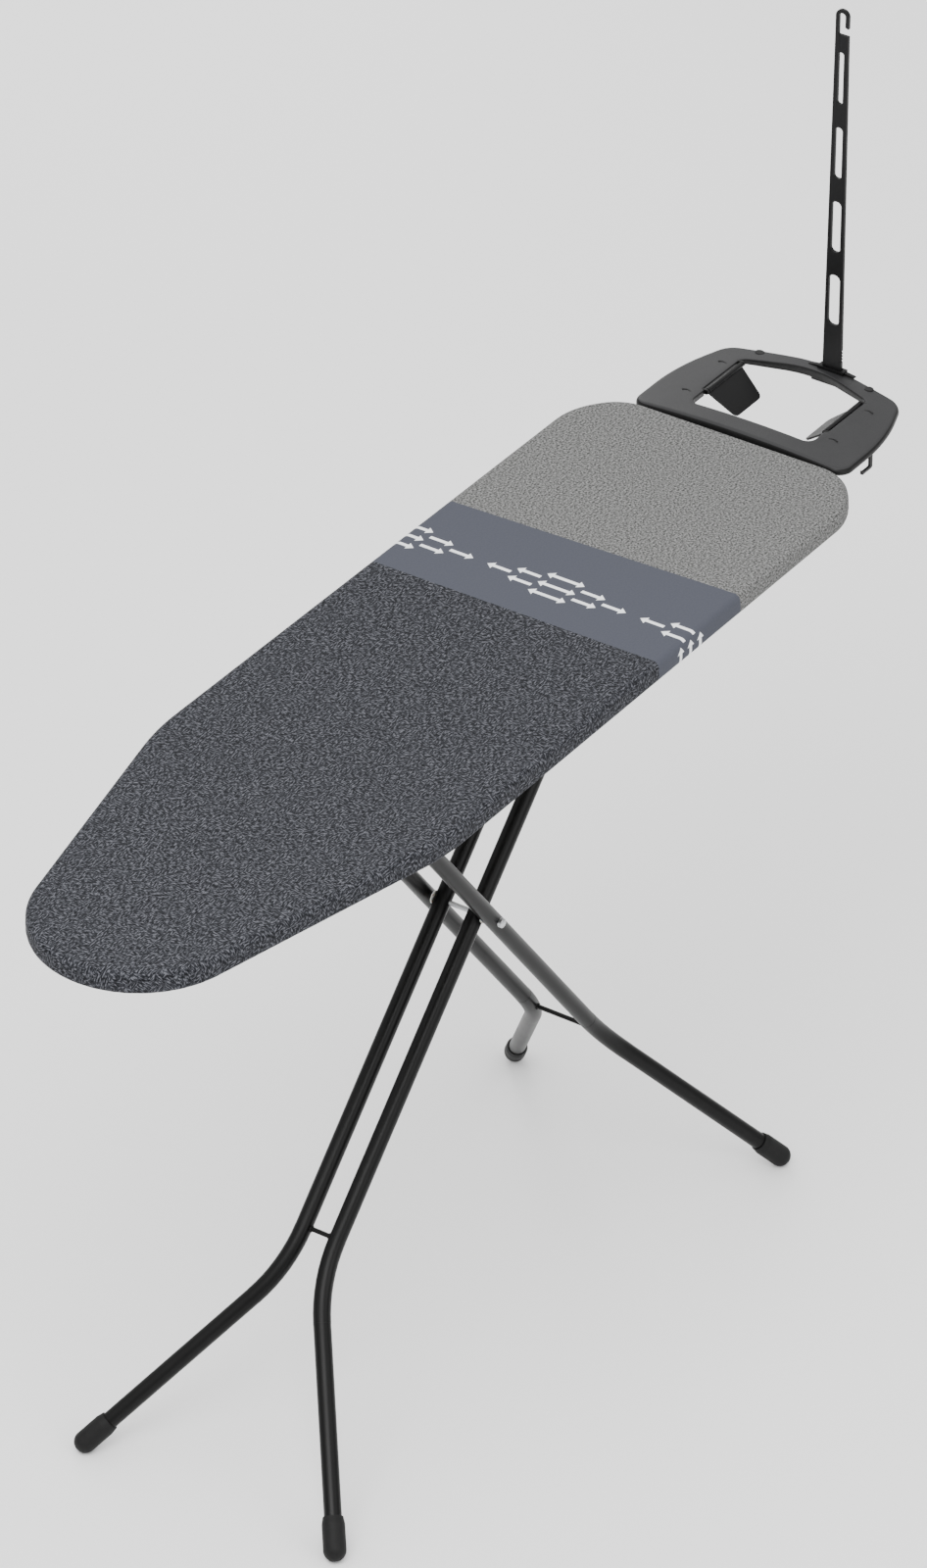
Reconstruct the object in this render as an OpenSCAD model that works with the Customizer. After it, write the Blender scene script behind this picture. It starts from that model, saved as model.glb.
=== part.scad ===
// Folding ironing board: a padded steel deck on a scissor stand, with an iron rest
// and a flex holder at the straight end. Millimetres, +Z up, +X towards the iron rest.
// The origin lies on the floor under the middle of the overall length and width.

/* [Deck] */
// Length of the ironing surface, from the nose tip to the straight end
board_l = 1264; // [1050:1:1520]
// Width of the ironing surface
board_w = 380; // [316:1:456]
// Height of the ironing surface above the floor
board_h = 856; // [713:1:1028]
// Radius of the round nose
nose_r = 121; // [100:1:146]
// Distance from the nose tip to where the sides turn in
taper_l = 405; // [337:1:486]
// Radius that softens the turn into the taper
taper_blend_r = 300; // [150:10:360]
// How far each rear corner's cut reaches along the side
corner_x = 52; // [46:1:62]
// How far each rear corner's cut reaches along the end
corner_y = 41; // [36:1:48]
// Radius where the side runs into the corner cut
corner_side_r = 88; // [60:1:96]
// Radius where the corner cut runs into the end
corner_end_r = 60; // [50:1:66]
// Thickness of the cover cloth with its backing
cover_t = 1.2; // [0.8:0.1:2]
// Height of the cover's edge, surface to hem
skirt_h = 25; // [21:1:30]
// Width of the hem drawn in under the edge
hem_w = 22; // [14:1:28]
// Thickness of the felt and foam pad
pad_t = 6; // [4:0.1:8]
// Thickness of the perforated deck sheet
sheet_t = 1; // [0.8:0.1:1.5]
// Pitch of the sheet's diamonds along the board
mesh_pitch = 88; // [70:1:110]
// Pitch of the sheet's diamonds across the board
mesh_row = 40; // [32:1:48]
// Width of metal left round each diamond
strand_w = 7; // [5:0.5:9]
// Thickness of the rim, brace, rail and bracket steel
steel_t = 1.2; // [1:0.1:1.5]
// Height of the deck's rim
rim_h = 14; // [11:1:15]
// Width of the rim's upper lip, under the sheet
rim_lip = 12; // [10:1:15]
// Width of a deck brace's web
brace_w = 30; // [25:1:36]
// Depth of a deck brace
brace_h = 8; // [6:0.5:9]
// Width of a deck brace's two weld flanges
brace_flange = 8; // [6:1:10]
// Distance from the straight end to the tail brace
tail_brace = 76; // [64:1:92]

/* [Stand] */
// Distance of the scissor axle from the middle of the deck, towards the straight end
scissor_off = 76; // [63:1:92]
// Drop from the ironing surface to the scissor axle
scissor_drop = 335; // [300:1:360]
// Drop from the ironing surface to the inner leg's hinge pin
hinge_drop = 61; // [58:0.5:66]
// Drop from the ironing surface to the outer leg's slide bar
slide_drop = 36; // [34:0.5:38]
// Angle between the inner leg and the floor
inner_angle = 45.8; // [40:0.1:52]
// Angle between the outer leg and the floor
outer_angle = 52.2; // [46:0.1:58]
// Outside diameter of the leg tubes
tube_d = 20; // [16:0.1:24]
// Wall of the leg tubes
tube_wall = 1.2; // [1:0.1:1.5]
// Radius of the bends, at the tube's centre line
bend_r = 190; // [150:5:228]
// Angle by which the inner feet splay
inner_splay = 29; // [24:0.5:34]
// Length of the inner feet, from the bend's corner to the foot
inner_foot_l = 303; // [260:1:360]
// Angle by which the outer feet splay
outer_splay = 27; // [22:0.5:32]
// Length of the outer feet, from the bend's corner to the foot
outer_foot_l = 314; // [265:1:370]
// Distance of the inner leg's strut above its bend
inner_strut_up = 50; // [30:1:60]
// Distance of the outer leg's strut above its bend
outer_strut_up = 12; // [8:1:30]
// Diameter of the strut rods
strut_d = 5.5; // [4.5:0.1:6.5]
// Length of tube above a leg's top pin
tube_end = 12; // [10:0.5:14]
// Radius of the foot caps
foot_r = 13; // [12.5:0.1:15.5]
// Straight length of the foot caps
cap_l = 37; // [31:1:44]
// Thickness of rubber behind the tube's end
sole_t = 6; // [4:0.5:8]
// Diameter of the scissor axle
axle_d = 6; // [5:0.1:7.2]
// Diameter of the hinge pin
pin_d = 8; // [6.7:0.1:9.6]
// Diameter of the slide bar
bar_d = 10; // [8.4:0.1:12]
// Radius of the rivet heads on the scissor axle
head_r = 5.5; // [4.5:0.1:6.5]
// Length of the rivet heads
head_l = 6; // [4:0.5:8]
// Thickness of the washers between the legs
washer_t = 1.4; // [1:0.1:1.5]
// Radius of those washers
washer_r = 8; // [6.7:0.1:9.5]
// Gap between an inner tube and the outer tube beside it
leg_gap = 1.6; // [1.6:0.1:3]
// Outside width of the hinge bracket
bracket_w = 21; // [18:0.5:25]
// Gap between the hinge bracket and each inner tube
bracket_gap = 2.1; // [1:0.1:3]
// Radial clearance of every turning fit
run_fit = 0.06; // [0.03:0.01:0.1]

/* [Slide and latch] */
// Radius of the nylon glides on the slide bar
glide_r = 7; // [6.5:0.1:8]
// Width of the glides
glide_w = 9; // [7.5:0.5:10.5]
// Gap between a glide and the rail's lower lip
glide_gap = 0.3; // [0.2:0.1:0.6]
// Extra height of the rail above a glide, used while the stand folds
slide_play = 4.4; // [4.4:0.1:6]
// Thickness of the latch rack
rack_t = 3; // [2.5:0.1:4]
// Pitch of the rack's notches
notch_pitch = 30; // [25:1:36]
// Number of height settings
notch_count = 6; // [4:1:7]
// Depth of the notches
notch_depth = 6; // [4:0.5:7]
// Gap between the slide bar and the tips of the rack's teeth
tooth_gap = 1; // [0.5:0.1:2]
// Drop from the ironing surface to the lever shaft
lever_drop = 30; // [29:0.5:31]
// Diameter of the lever shaft
lever_d = 8; // [7:0.1:8.5]
// Distance of the lever in from the deck's near side
lever_in = 58; // [52:1:70]
// Length of the lever from its shaft to the end of its grip
lever_l = 112; // [94:1:134]
// Width of the lever's grip
grip_w = 26; // [22:1:31]
// Wire diameter of the return spring
spring_wire = 1.4; // [1.2:0.1:1.6]
// Turns of the return spring
spring_turns = 6; // [4:1:8]

/* [Iron rest] */
// Gap between the deck's straight end and the iron rest
rest_gap = 6; // [5:0.5:9]
// Length of the iron rest along the board
rest_l = 186; // [182:1:222]
// Width of the iron rest
rest_w = 288; // [266:1:314]
// Height of the rest's top above the ironing surface
rest_rise = 1; // [0.5:0.1:3]
// Depth of the rest's outer wall
rest_depth = 14; // [13.5:0.1:17]
// Depth of the wall round the rest's opening
rest_inner_depth = 10; // [9.5:0.1:12]
// Radius of the rest's crown, across its width
crown_r = 1500; // [1250:50:1800]
// Wall of the moulded rest
shell_t = 3; // [2.5:0.1:3.6]
// Width of the rest's front bar
front_bar = 29; // [24:1:35]
// Width of the rest's rear bar
rear_bar = 21; // [19:1:25]
// Distance from the middle of the rest to each flap's hinge pin
flap_y = 80; // [76:0.5:84]
// Length of a flap along its hinge
flap_l = 73; // [61:1:76]
// Length of a flap along its free edge
flap_free_l = 53; // [44:1:60]
// Width of a flap, hinge pin to free edge
flap_w = 44; // [37:0.5:53]
// Radius of a flap's free corners
flap_r = 8; // [5:0.5:9]
// Thickness of a flap
flap_t = 2.5; // [2:0.1:3]
// Angle by which the flaps hang below level
flap_tilt = 37; // [30:1:45]
// Diameter of the flap hinge pins
flap_pin_d = 3; // [2.5:0.1:3.4]
// Radius of a flap's hinge barrel
barrel_r = 3.2; // [3:0.1:3.6]
// Distance from the middle of the rest to each steel arm
arm_y = 108; // [104:1:112]
// Width of the steel arms
arm_w = 18; // [15:1:21]
// Thickness of the steel arms
arm_t = 3; // [2.5:0.1:3.5]
// Diameter of the screws in the arms
screw_d = 4; // [3.4:0.1:4.8]

/* [Flex holder] */
// Height of the flex holder above the rest
flex_h = 469; // [416:1:562]
// Width of the strip at its foot
flex_foot_w = 25; // [21:0.5:30]
// Width of the strip at its top
flex_top_w = 16.6; // [14:0.1:19.9]
// Thickness of the strip
flex_t = 4; // [3.4:0.1:4.8]
// Distance of the strip from the middle, towards the near side
flex_y = 19; // [10:1:26]
// Height of the lowest slot
slot_z = 61; // [51:1:68]
// Length of a slot
slot_l = 66; // [55:1:79]
// Pitch of the slots
slot_pitch = 96; // [90:1:98]
// Width of the lowest slot
slot_low_w = 15; // [12.5:0.1:17]
// Width of the highest slot
slot_high_w = 7.5; // [6.2:0.1:9]
// Height of the hook at the top
hook_h = 32; // [27:1:38]
// Width of metal round the hook's loop
hook_bar = 4.2; // [3.5:0.1:4.6]
// Depth of the strip's tongue in its socket
tongue_l = 10; // [8:0.5:11]
// Clearance round the tongue
tongue_fit = 0.35; // [0.2:0.05:0.6]

/* [Hidden] */
$fn = 48;
arc_step = 9;       // degrees of turn between points on a rounded corner
eps = 0.5;          // how far a cutter runs past a face

// Lengths and levels
overall_l = board_l + rest_gap + rest_l;
x_nose = -overall_l / 2;
x_tail = x_nose + board_l;
x_rest = x_tail + rest_gap;
x_axle = x_nose + board_l / 2 + scissor_off;
z_sheet = board_h - cover_t - pad_t;
z_under = z_sheet - sheet_t;
z_brace = z_under - brace_h;
z_hem = board_h - skirt_h;
z_axle = board_h - scissor_drop;
z_hinge = board_h - hinge_drop;
z_slide = board_h - slide_drop;
z_lever = board_h - lever_drop;
z_rest = board_h + rest_rise;
edge_gap = 0.3;     // between the cover's edge and the deck inside it
edge = cover_t + edge_gap;

// The stand: each leg is measured from the scissor axle, up to its pin and down to its feet
tube_r = tube_d / 2;
bore_r = tube_r - tube_wall;
inner_y = bracket_w / 2 + bracket_gap + tube_r;
outer_y = inner_y + tube_d + leg_gap;
inner_up = (z_hinge - z_axle) / sin(inner_angle);
outer_up = (z_slide - z_axle) / sin(outer_angle);
inner_bend = (z_axle - foot_r) / sin(inner_angle) - inner_foot_l * cos(inner_splay);
outer_bend = (z_axle - foot_r) / sin(outer_angle) - outer_foot_l * cos(outer_splay);
x_hinge = x_axle + inner_up * cos(inner_angle);
x_slide = x_axle - outer_up * cos(outer_angle);
slide_fall = z_slide - z_hinge;
x_slide_folded = x_hinge - inner_up - sqrt(outer_up * outer_up - slide_fall * slide_fall);

// The rails, the latch and the braces line up with the slide bar's travel
glide_in = outer_y + tube_r + 1.4;
rail_y = glide_in + glide_w + 1.4;
rail_stop = 12;     // rail left beyond a glide at each end of its travel
x_rail_tail = x_slide + glide_r + rail_stop - 3;
x_rail_nose = x_slide_folded - glide_r - rail_stop;
x_lever = x_rail_tail + brace_flange + brace_w / 2 + 4;
x_nose_brace = x_rail_nose - brace_flange - brace_w / 2 - 10;
x_middle_brace = (x_lever + x_hinge) / 2;
x_tail_brace = x_tail - tail_brace;
z_tooth = z_slide - bar_d / 2 - tooth_gap;

// The iron rest
rest_half = rest_w / 2;
flap_x = x_rest + front_bar + 36;
z_flap = z_rest - 6;
x_flex = x_rest + rest_l - 9;
pocket_z = z_rest - tongue_l - 1;
screw_r = screw_d / 2;
z_arm = z_rest - 15.5;      // underside of the arms where they carry the rest
z_dip = z_hem - 1.5 - arm_t; // underside of the arms where they pass below the hem

// ---- Outlines: lists of corners [x, y, radius], drawn anticlockwise ----

function flat(c) = [c.x, c.y];
function unit(v) = v / norm(v);
function last_of(c, i) = c[(i + len(c) - 1) % len(c)];
function next_of(c, i) = c[(i + 1) % len(c)];

// The unit vector to the left of the edge from a to b, which points into the outline
function inward(a, b) =
    let (u = unit(flat(b) - flat(a)))
    [-u.y, u.x];

// The outline moved in by d, or out where d is negative
function inset(c, d) = [
    for (i = [0:len(c) - 1])
        let (m = inward(last_of(c, i), c[i]))
        let (n = inward(c[i], next_of(c, i)))
        let (p = flat(c[i]) + d * (m + n) / (1 + m * n))
        [p.x, p.y, c[i][2] == 0 ? 0 : max(0.1, c[i][2] - d * sign(cross(m, n)))]
];

// The arc that rounds corner b, between its neighbours a and c
function fillet(a, b, c) =
    let (u = unit(flat(a) - flat(b)))
    let (v = unit(flat(c) - flat(b)))
    let (half = acos(u * v) / 2)
    let (mid = flat(b) + unit(u + v) * b[2] / sin(half))
    let (from = flat(b) + u * b[2] / tan(half) - mid)
    let (turn = (180 - 2 * half) * (cross(u, v) < 0 ? 1 : -1))
    let (steps = ceil(abs(turn) / arc_step))
    [for (k = [0:steps])
        let (a = atan2(from.y, from.x) + turn * k / steps)
        mid + b[2] * [cos(a), sin(a)]];

function rounded(c) = [
    for (i = [0:len(c) - 1])
        each c[i][2] == 0 ? [flat(c[i])] : fillet(last_of(c, i), c[i], next_of(c, i))
];
function distinct(p) = [
    for (i = [0:len(p) - 1])
        if (norm(p[i] - last_of(p, i)) > 0.01) p[i]
];
function outline(c) = distinct(rounded(c));

// A list of the far half's corners, tail to nose, and their mirror images
function both_sides(far) = concat(far, [
    for (i = [len(far) - 1:-1:0]) [far[i].x, -far[i].y, far[i][2]]
]);

// ---- Small building blocks ----

module slab(c, z, h) {
    translate([0, 0, z])
        linear_extrude(h)
            polygon(outline(c));
}

// The wall between an outline's insets at a and b
module band(c, a, b, z, h) {
    translate([0, 0, z])
        linear_extrude(h)
            difference() {
                polygon(outline(inset(c, a)));
                polygon(outline(inset(c, b)));
            }
}

// A plate standing along X, drawn in X and Z, with its middle at y
module upright(c, y, t) {
    translate([0, y + t / 2, 0])
        rotate([90, 0, 0])
            linear_extrude(t)
                polygon(outline(c));
}

// A plate standing across the board, drawn in Y and Z, with its middle at x
module crosswise(c, x, t) {
    translate([x - t / 2, 0, 0])
        rotate([90, 0, 90])
            linear_extrude(t)
                polygon(outline(c));
}

// A rod or a bore along Y, centred on y
module y_rod(x, y, z, r, l) {
    translate([x, y + l / 2, z])
        rotate([90, 0, 0])
            cylinder(h = l, r = r);
}

module x_rod(x, y, z, r, l) {
    translate([x, y, z])
        rotate([0, 90, 0])
            cylinder(h = l, r = r);
}

module near_side() {
    mirror([0, 1, 0])
        children();
}

module two_sides() {
    children();
    near_side()
        children();
}

// ---- Deck ----

// Angle of the tapered side: the line from the turn-in that just touches the nose circle
turn_in = [taper_l - nose_r, board_w / 2];
taper_a = atan2(turn_in.y, turn_in.x) - asin(nose_r / norm(turn_in));
deck = both_sides([
    [x_tail, board_w / 2 - corner_y, corner_end_r],
    [x_tail - corner_x, board_w / 2, corner_side_r],
    [x_nose + taper_l, board_w / 2, taper_blend_r],
    [x_nose, board_w / 2 - taper_l * tan(taper_a), nose_r]
]);

// Half the deck's width at a distance along it
function half_width(x) =
    let (s = x - x_nose)
    let (side = min(board_w / 2, board_w / 2 - (taper_l - s) * tan(taper_a)))
    let (nose = s < nose_r ? sqrt(max(0, s * (2 * nose_r - s))) : side)
    let (cut = board_w / 2 - corner_y * (x - x_tail + corner_x) / corner_x)
    min(side, nose, cut);

module cover() {
    color("slategray") {
        slab(deck, board_h - cover_t, cover_t);
        band(deck, 0, cover_t, z_hem, skirt_h);
        band(deck, 0, hem_w, z_hem, cover_t);
    }
}

module pad() {
    color("beige")
        slab(inset(deck, edge), z_sheet, pad_t);
}

module diamond(x, y) {
    a = (mesh_pitch - 2 * strand_w) / 2;
    b = (mesh_row - strand_w) / 2;
    translate([x, y])
        polygon([[a, 0], [0, b], [-a, 0], [0, -b]]);
}

// Diamonds in staggered rows, kept a margin inside the rim
module diamonds() {
    margin = edge + rim_lip + strand_w;
    rows = ceil(board_w / mesh_row);
    for (j = [-rows:rows], x = [x_nose + mesh_pitch / 2:mesh_pitch:x_tail]) {
        y = j * mesh_row / 2;
        cx = x + (abs(j) % 2) * mesh_pitch / 2;
        room = min(half_width(cx - mesh_pitch / 4), half_width(cx), half_width(cx + mesh_pitch / 4));
        if (abs(y) + mesh_row / 2 < room - margin && cx + mesh_pitch / 2 < x_tail - margin)
            diamond(cx, y);
    }
}

module deck_sheet() {
    color("dimgray")
        translate([0, 0, z_under])
            linear_extrude(sheet_t)
                difference() {
                    polygon(outline(inset(deck, edge)));
                    diamonds();
                }
}

// A channel that opens inwards: upper lip, wall and lower lip
module deck_rim() {
    lower_lip = 8;
    color("dimgray") {
        band(deck, edge, edge + rim_lip, z_under - steel_t, steel_t);
        band(deck, edge, edge + steel_t, z_under - rim_h, rim_h);
        band(deck, edge, edge + lower_lip, z_under - rim_h, steel_t);
    }
}

// A hat section across the deck, welded to the sheet and ending at the rim's lip
module brace(x) {
    w = brace_w / 2;
    f = w + brace_flange;
    t = steel_t;
    profile = [[x - w, z_brace, 0], [x + w, z_brace, 0], [x + w, z_under - t, 0],
        [x + f, z_under - t, 0], [x + f, z_under, 0], [x + w - t, z_under, 0],
        [x + w - t, z_brace + t, 0], [x - w + t, z_brace + t, 0], [x - w + t, z_under, 0],
        [x - f, z_under, 0], [x - f, z_under - t, 0], [x - w, z_under - t, 0]];
    color("dimgray")
        intersection() {
            upright(profile, 0, board_w);
            slab(inset(deck, edge + rim_lip), z_brace, brace_h);
        }
}

module nose_brace() {
    brace(x_nose_brace);
}

module lever_brace() {
    brace(x_lever);
}

module middle_brace() {
    brace(x_middle_brace);
}

module hinge_brace() {
    brace(x_hinge);
}

module tail_brace_bar() {
    brace(x_tail_brace);
}

// A rail for one glide: a wall that hangs from the sheet, with two lips turned inwards
module guide_rail() {
    lip_y = glide_in + 0.4;
    low = z_slide - glide_r - glide_gap;
    high = z_slide + glide_r + slide_play;
    color("dimgray")
        translate([x_rail_nose, 0, 0])
            rotate([90, 0, 90])
                linear_extrude(x_rail_tail - x_rail_nose) {
                    translate([rail_y, low - steel_t])
                        square([steel_t, z_under - low + steel_t]);
                    translate([lip_y, low - steel_t])
                        square([rail_y - lip_y, steel_t]);
                    translate([lip_y, high])
                        square([rail_y - lip_y, steel_t]);
                    translate([rail_y, z_under - steel_t])
                        square([12, steel_t]);
                }
}

module guide_rail_far() {
    guide_rail();
}

module guide_rail_near() {
    near_side()
        guide_rail();
}

// An ear with a round end and a running bore along Y
module ear(x, z, r, bore, y, t, top) {
    difference() {
        upright([[x - r, z - r, r - 0.2], [x + r, z - r, r - 0.2],
            [x + r, top, 0], [x - r, top, 0]], y, t);
        y_rod(x, y, z, bore, t + 2 * eps);
    }
}

module hinge_bracket() {
    t = 2;
    foot = 20;
    color("dimgray") {
        two_sides()
            ear(x_hinge, z_hinge, pin_d / 2 + 7, pin_d / 2 + run_fit, bracket_w / 2 - t / 2, t, z_brace - t);
        translate([x_hinge - foot, -bracket_w / 2, z_brace - t])
            cube([2 * foot, bracket_w, t]);
    }
}

// ---- Legs: drawn along +X from the scissor axle to the feet, far tube at +Y ----

module inner_place() {
    translate([x_axle, 0, z_axle])
        rotate([0, 180 - inner_angle, 0])
            children();
}

module outer_place() {
    translate([x_axle, 0, z_axle])
        rotate([0, outer_angle, 0])
            children();
}

module section(r, hole) {
    difference() {
        circle(r);
        if (hole > 0)
            circle(hole);
    }
}

// One leg's tube or, with no hole, its outer form: straight, bend, straight. The bend's
// wall is a little thicker, and the straights run a short way into it.
module bent_tube(up, bend, foot_l, splay, y, r, hole) {
    swell = 0.15;
    lap = 1;
    t = bend_r * tan(splay / 2);
    translate([-up - tube_end, y, 0])
        rotate([0, 90, 0])
            linear_extrude(up + tube_end + bend - t + lap)
                section(r, hole);
    translate([bend - t, y + bend_r, 0])
        rotate([0, 0, -90])
            rotate_extrude(angle = splay)
                translate([bend_r, 0])
                    section(r + swell, hole > 0 ? hole - swell : 0);
    translate([bend, y, 0])
        rotate([0, 0, splay])
            translate([t - lap, 0, 0])
                rotate([0, 90, 0])
                    linear_extrude(foot_l - t + lap - sole_t)
                        section(r, hole);
}

module inner_form(r, hole) {
    bent_tube(inner_up, inner_bend, inner_foot_l, inner_splay, inner_y, r, hole);
}

module outer_form(r, hole) {
    bent_tube(outer_up, outer_bend, outer_foot_l, outer_splay, outer_y, r, hole);
}

module inner_tube() {
    color("black")
        inner_place()
            difference() {
                inner_form(tube_r, bore_r);
                y_rod(0, inner_y, 0, axle_d / 2, tube_d + 2 * eps);
                y_rod(-inner_up, inner_y, 0, pin_d / 2, tube_d + 2 * eps);
            }
}

module inner_tube_far() {
    inner_tube();
}

module inner_tube_near() {
    near_side()
        inner_tube();
}

module outer_tube() {
    color("black")
        outer_place()
            difference() {
                outer_form(tube_r, bore_r);
                y_rod(0, outer_y, 0, axle_d / 2 + run_fit, tube_d + 2 * eps);
                y_rod(-outer_up, outer_y, 0, bar_d / 2, tube_d + 2 * eps);
            }
}

module outer_tube_far() {
    outer_tube();
}

module outer_tube_near() {
    near_side()
        outer_tube();
}

// A rod whose ends are shaped to the tubes that it is welded to
module inner_strut() {
    color("black")
        inner_place()
            difference() {
                y_rod(inner_bend - inner_strut_up, 0, 0, strut_d / 2, 2 * inner_y);
                two_sides()
                    inner_form(tube_r, 0);
            }
}

module outer_strut() {
    color("black")
        outer_place()
            difference() {
                y_rod(outer_bend - outer_strut_up, 0, 0, strut_d / 2, 2 * outer_y);
                two_sides()
                    outer_form(tube_r, 0);
            }
}

// A rubber cup with a ball end, a tapered mouth and a seat for the tube
module foot_cap(bend, foot_l, splay, y) {
    mouth = 8;
    mouth_r = (foot_r + tube_r) / 2;
    color("black")
        translate([bend + foot_l * cos(splay), y + foot_l * sin(splay), 0])
            rotate([0, 0, splay])
                rotate([0, 90, 0])
                    difference() {
                        union() {
                            sphere(foot_r);
                            translate([0, 0, mouth - cap_l])
                                cylinder(h = cap_l - mouth, r = foot_r);
                            translate([0, 0, -cap_l])
                                cylinder(h = mouth, r1 = mouth_r, r2 = foot_r);
                        }
                        translate([0, 0, -cap_l - eps])
                            cylinder(h = cap_l + eps - sole_t, r = tube_r);
                    }
}

module inner_foot_cap_far() {
    inner_place()
        foot_cap(inner_bend, inner_foot_l, inner_splay, inner_y);
}

module inner_foot_cap_near() {
    near_side()
        inner_foot_cap_far();
}

module outer_foot_cap_far() {
    outer_place()
        foot_cap(outer_bend, outer_foot_l, outer_splay, outer_y);
}

module outer_foot_cap_near() {
    near_side()
        outer_foot_cap_far();
}

// A plastic plug in a tube's top end, with a flange the size of the tube
module tube_plug(up, y) {
    flange = 2;
    depth = 5;
    color("black")
        translate([-up - tube_end, y, 0])
            rotate([0, 90, 0]) {
                translate([0, 0, -flange])
                    cylinder(h = flange, r = tube_r);
                cylinder(h = depth, r = bore_r);
            }
}

module inner_tube_plugs() {
    inner_place()
        two_sides()
            tube_plug(inner_up, inner_y);
}

module outer_tube_plugs() {
    outer_place()
        two_sides()
            tube_plug(outer_up, outer_y);
}

axle_end = outer_y + tube_r + 0.4;      // where the rivet heads start
pin_end = inner_y + tube_r + 0.2;       // where the hinge pin's clips start

module scissor_axle() {
    color("silver")
        y_rod(x_axle, 0, z_axle, axle_d / 2, 2 * axle_end);
}

// A rivet head with a flat seat and a rounded outer face
module axle_head() {
    color("silver")
        translate([x_axle, axle_end, z_axle])
            rotate([-90, 0, 0])
                intersection() {
                    cylinder(h = head_l, r = head_r);
                    translate([0, 0, head_l - 1.6 * head_r])
                        sphere(1.6 * head_r);
                }
}

module axle_head_far() {
    axle_head();
}

module axle_head_near() {
    near_side()
        axle_head();
}

// One washer between each inner tube and its neighbour
module axle_washers() {
    color("gray")
        two_sides()
            difference() {
                y_rod(x_axle, inner_y + tube_r + leg_gap / 2, z_axle, washer_r, washer_t);
                y_rod(x_axle, inner_y + tube_r, z_axle, axle_d / 2, 4 * washer_t);
            }
}

module hinge_pin() {
    color("silver")
        y_rod(x_hinge, 0, z_hinge, pin_d / 2, 2 * pin_end + 2);
}

module hinge_pin_clips() {
    clip_t = 1;
    color("silver")
        two_sides()
            difference() {
                y_rod(x_hinge, pin_end + clip_t / 2, z_hinge, pin_d / 2 + 1.5, clip_t);
                y_rod(x_hinge, pin_end, z_hinge, pin_d / 2, 4 * clip_t);
            }
}

bar_end = glide_in + glide_w - 1.6;     // the slide bar stops inside its glides

module slide_bar() {
    color("silver")
        y_rod(x_slide, 0, z_slide, bar_d / 2, 2 * bar_end);
}

// A round nylon cap pressed on the slide bar's end
module glide() {
    color("gainsboro")
        difference() {
            y_rod(x_slide, glide_in + glide_w / 2, z_slide, glide_r, glide_w);
            y_rod(x_slide, bar_end - glide_w, z_slide, bar_d / 2, 2 * glide_w);
        }
}

module glide_far() {
    glide();
}

module glide_near() {
    near_side()
        glide();
}

// ---- Height latch and its lever ----

lever_r = lever_d / 2;
lever_y = board_w / 2 - lever_in;
inner_ear_y = 13;                       // the shaft's inner ears stand either side of the rack
outer_ear_y = lever_y + grip_w / 2 + 4;

module lever_ear(y, t) {
    ear(x_lever, z_lever, lever_r + 4, lever_r + run_fit, y, t, z_brace - t);
}

module lever_bracket_inner() {
    t = 1.5;
    color("dimgray") {
        two_sides()
            lever_ear(inner_ear_y, t);
        translate([x_lever - 10, -inner_ear_y - t / 2, z_brace - t])
            cube([20, 2 * inner_ear_y + t, t]);
    }
}

module lever_bracket_outer() {
    t = 1.5;
    color("dimgray") {
        lever_ear(-outer_ear_y, t);
        translate([x_lever - 10, -outer_ear_y - t / 2, z_brace - t])
            cube([20, 14, t]);
    }
}

module lever_shaft() {
    far_end = inner_ear_y + 5;
    near_end = outer_ear_y + 5;
    color("silver")
        y_rod(x_lever, (far_end - near_end) / 2, z_lever, lever_r, far_end + near_end);
}

// A toothed plate under the slide bar, with a half-round notch for each height
module latch_rack() {
    x_end = x_slide - notch_pitch * (notch_count - 1) - notch_pitch / 2;
    floor = z_tooth - notch_depth - 8;
    heel = z_lever - lever_r - 5;
    color("silver")
        difference() {
            union() {
                upright([[x_lever, floor, 4], [x_lever + 9, heel, 4], [x_lever + 9, z_lever, 3],
                    [x_lever - 9, z_lever, 3], [x_lever - 12, z_tooth, 2],
                    [x_end, z_tooth, 3], [x_end, floor + 3, 3]], 0, rack_t);
                y_rod(x_lever, 0, z_lever, lever_r + 3, 2 * rack_t);
            }
            y_rod(x_lever, 0, z_lever, lever_r, 3 * rack_t);
            for (i = [0:notch_count - 1])
                y_rod(x_slide - i * notch_pitch, 0, z_tooth + bar_d / 2 - notch_depth,
                    bar_d / 2 + 0.4, rack_t + 2 * eps);
        }
}

// The lever arm: a flat steel strap that starts at a collar on the shaft
module lever_arm() {
    t = 3;
    drop = 9;
    x_end = x_lever + lever_l - 8;
    color("silver")
        difference() {
            union() {
                upright([[x_lever - 6, z_lever - 6, 4], [x_lever + 20, z_lever - drop - 6, 8],
                    [x_end, z_lever - drop - 6, 2], [x_end, z_lever - drop + 4, 2],
                    [x_lever + 24, z_lever - drop + 4, 8], [x_lever + 4, z_lever + 6, 4],
                    [x_lever - 6, z_lever + 6, 4]], -lever_y, t);
                y_rod(x_lever, -lever_y, z_lever, lever_r + 3, 12);
            }
            y_rod(x_lever, -lever_y, z_lever, lever_r, 14);
        }
}

// A moulded grip with rounded ends, slotted for the strap
module lever_grip() {
    drop = 9;
    x0 = x_lever + 38;
    x1 = x_lever + lever_l;
    y0 = -lever_y - grip_w / 2;
    y1 = -lever_y + grip_w / 2;
    color("dimgray")
        difference() {
            slab([[x0, y0, 5], [x1, y0, 11], [x1, y1, 11], [x0, y1, 5]], z_lever - drop - 9, 16);
            translate([x0 - eps, -lever_y - 1.5, z_lever - drop - 6])
                cube([x1 - 8 - x0 + eps, 3, 10]);
        }
}

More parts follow.
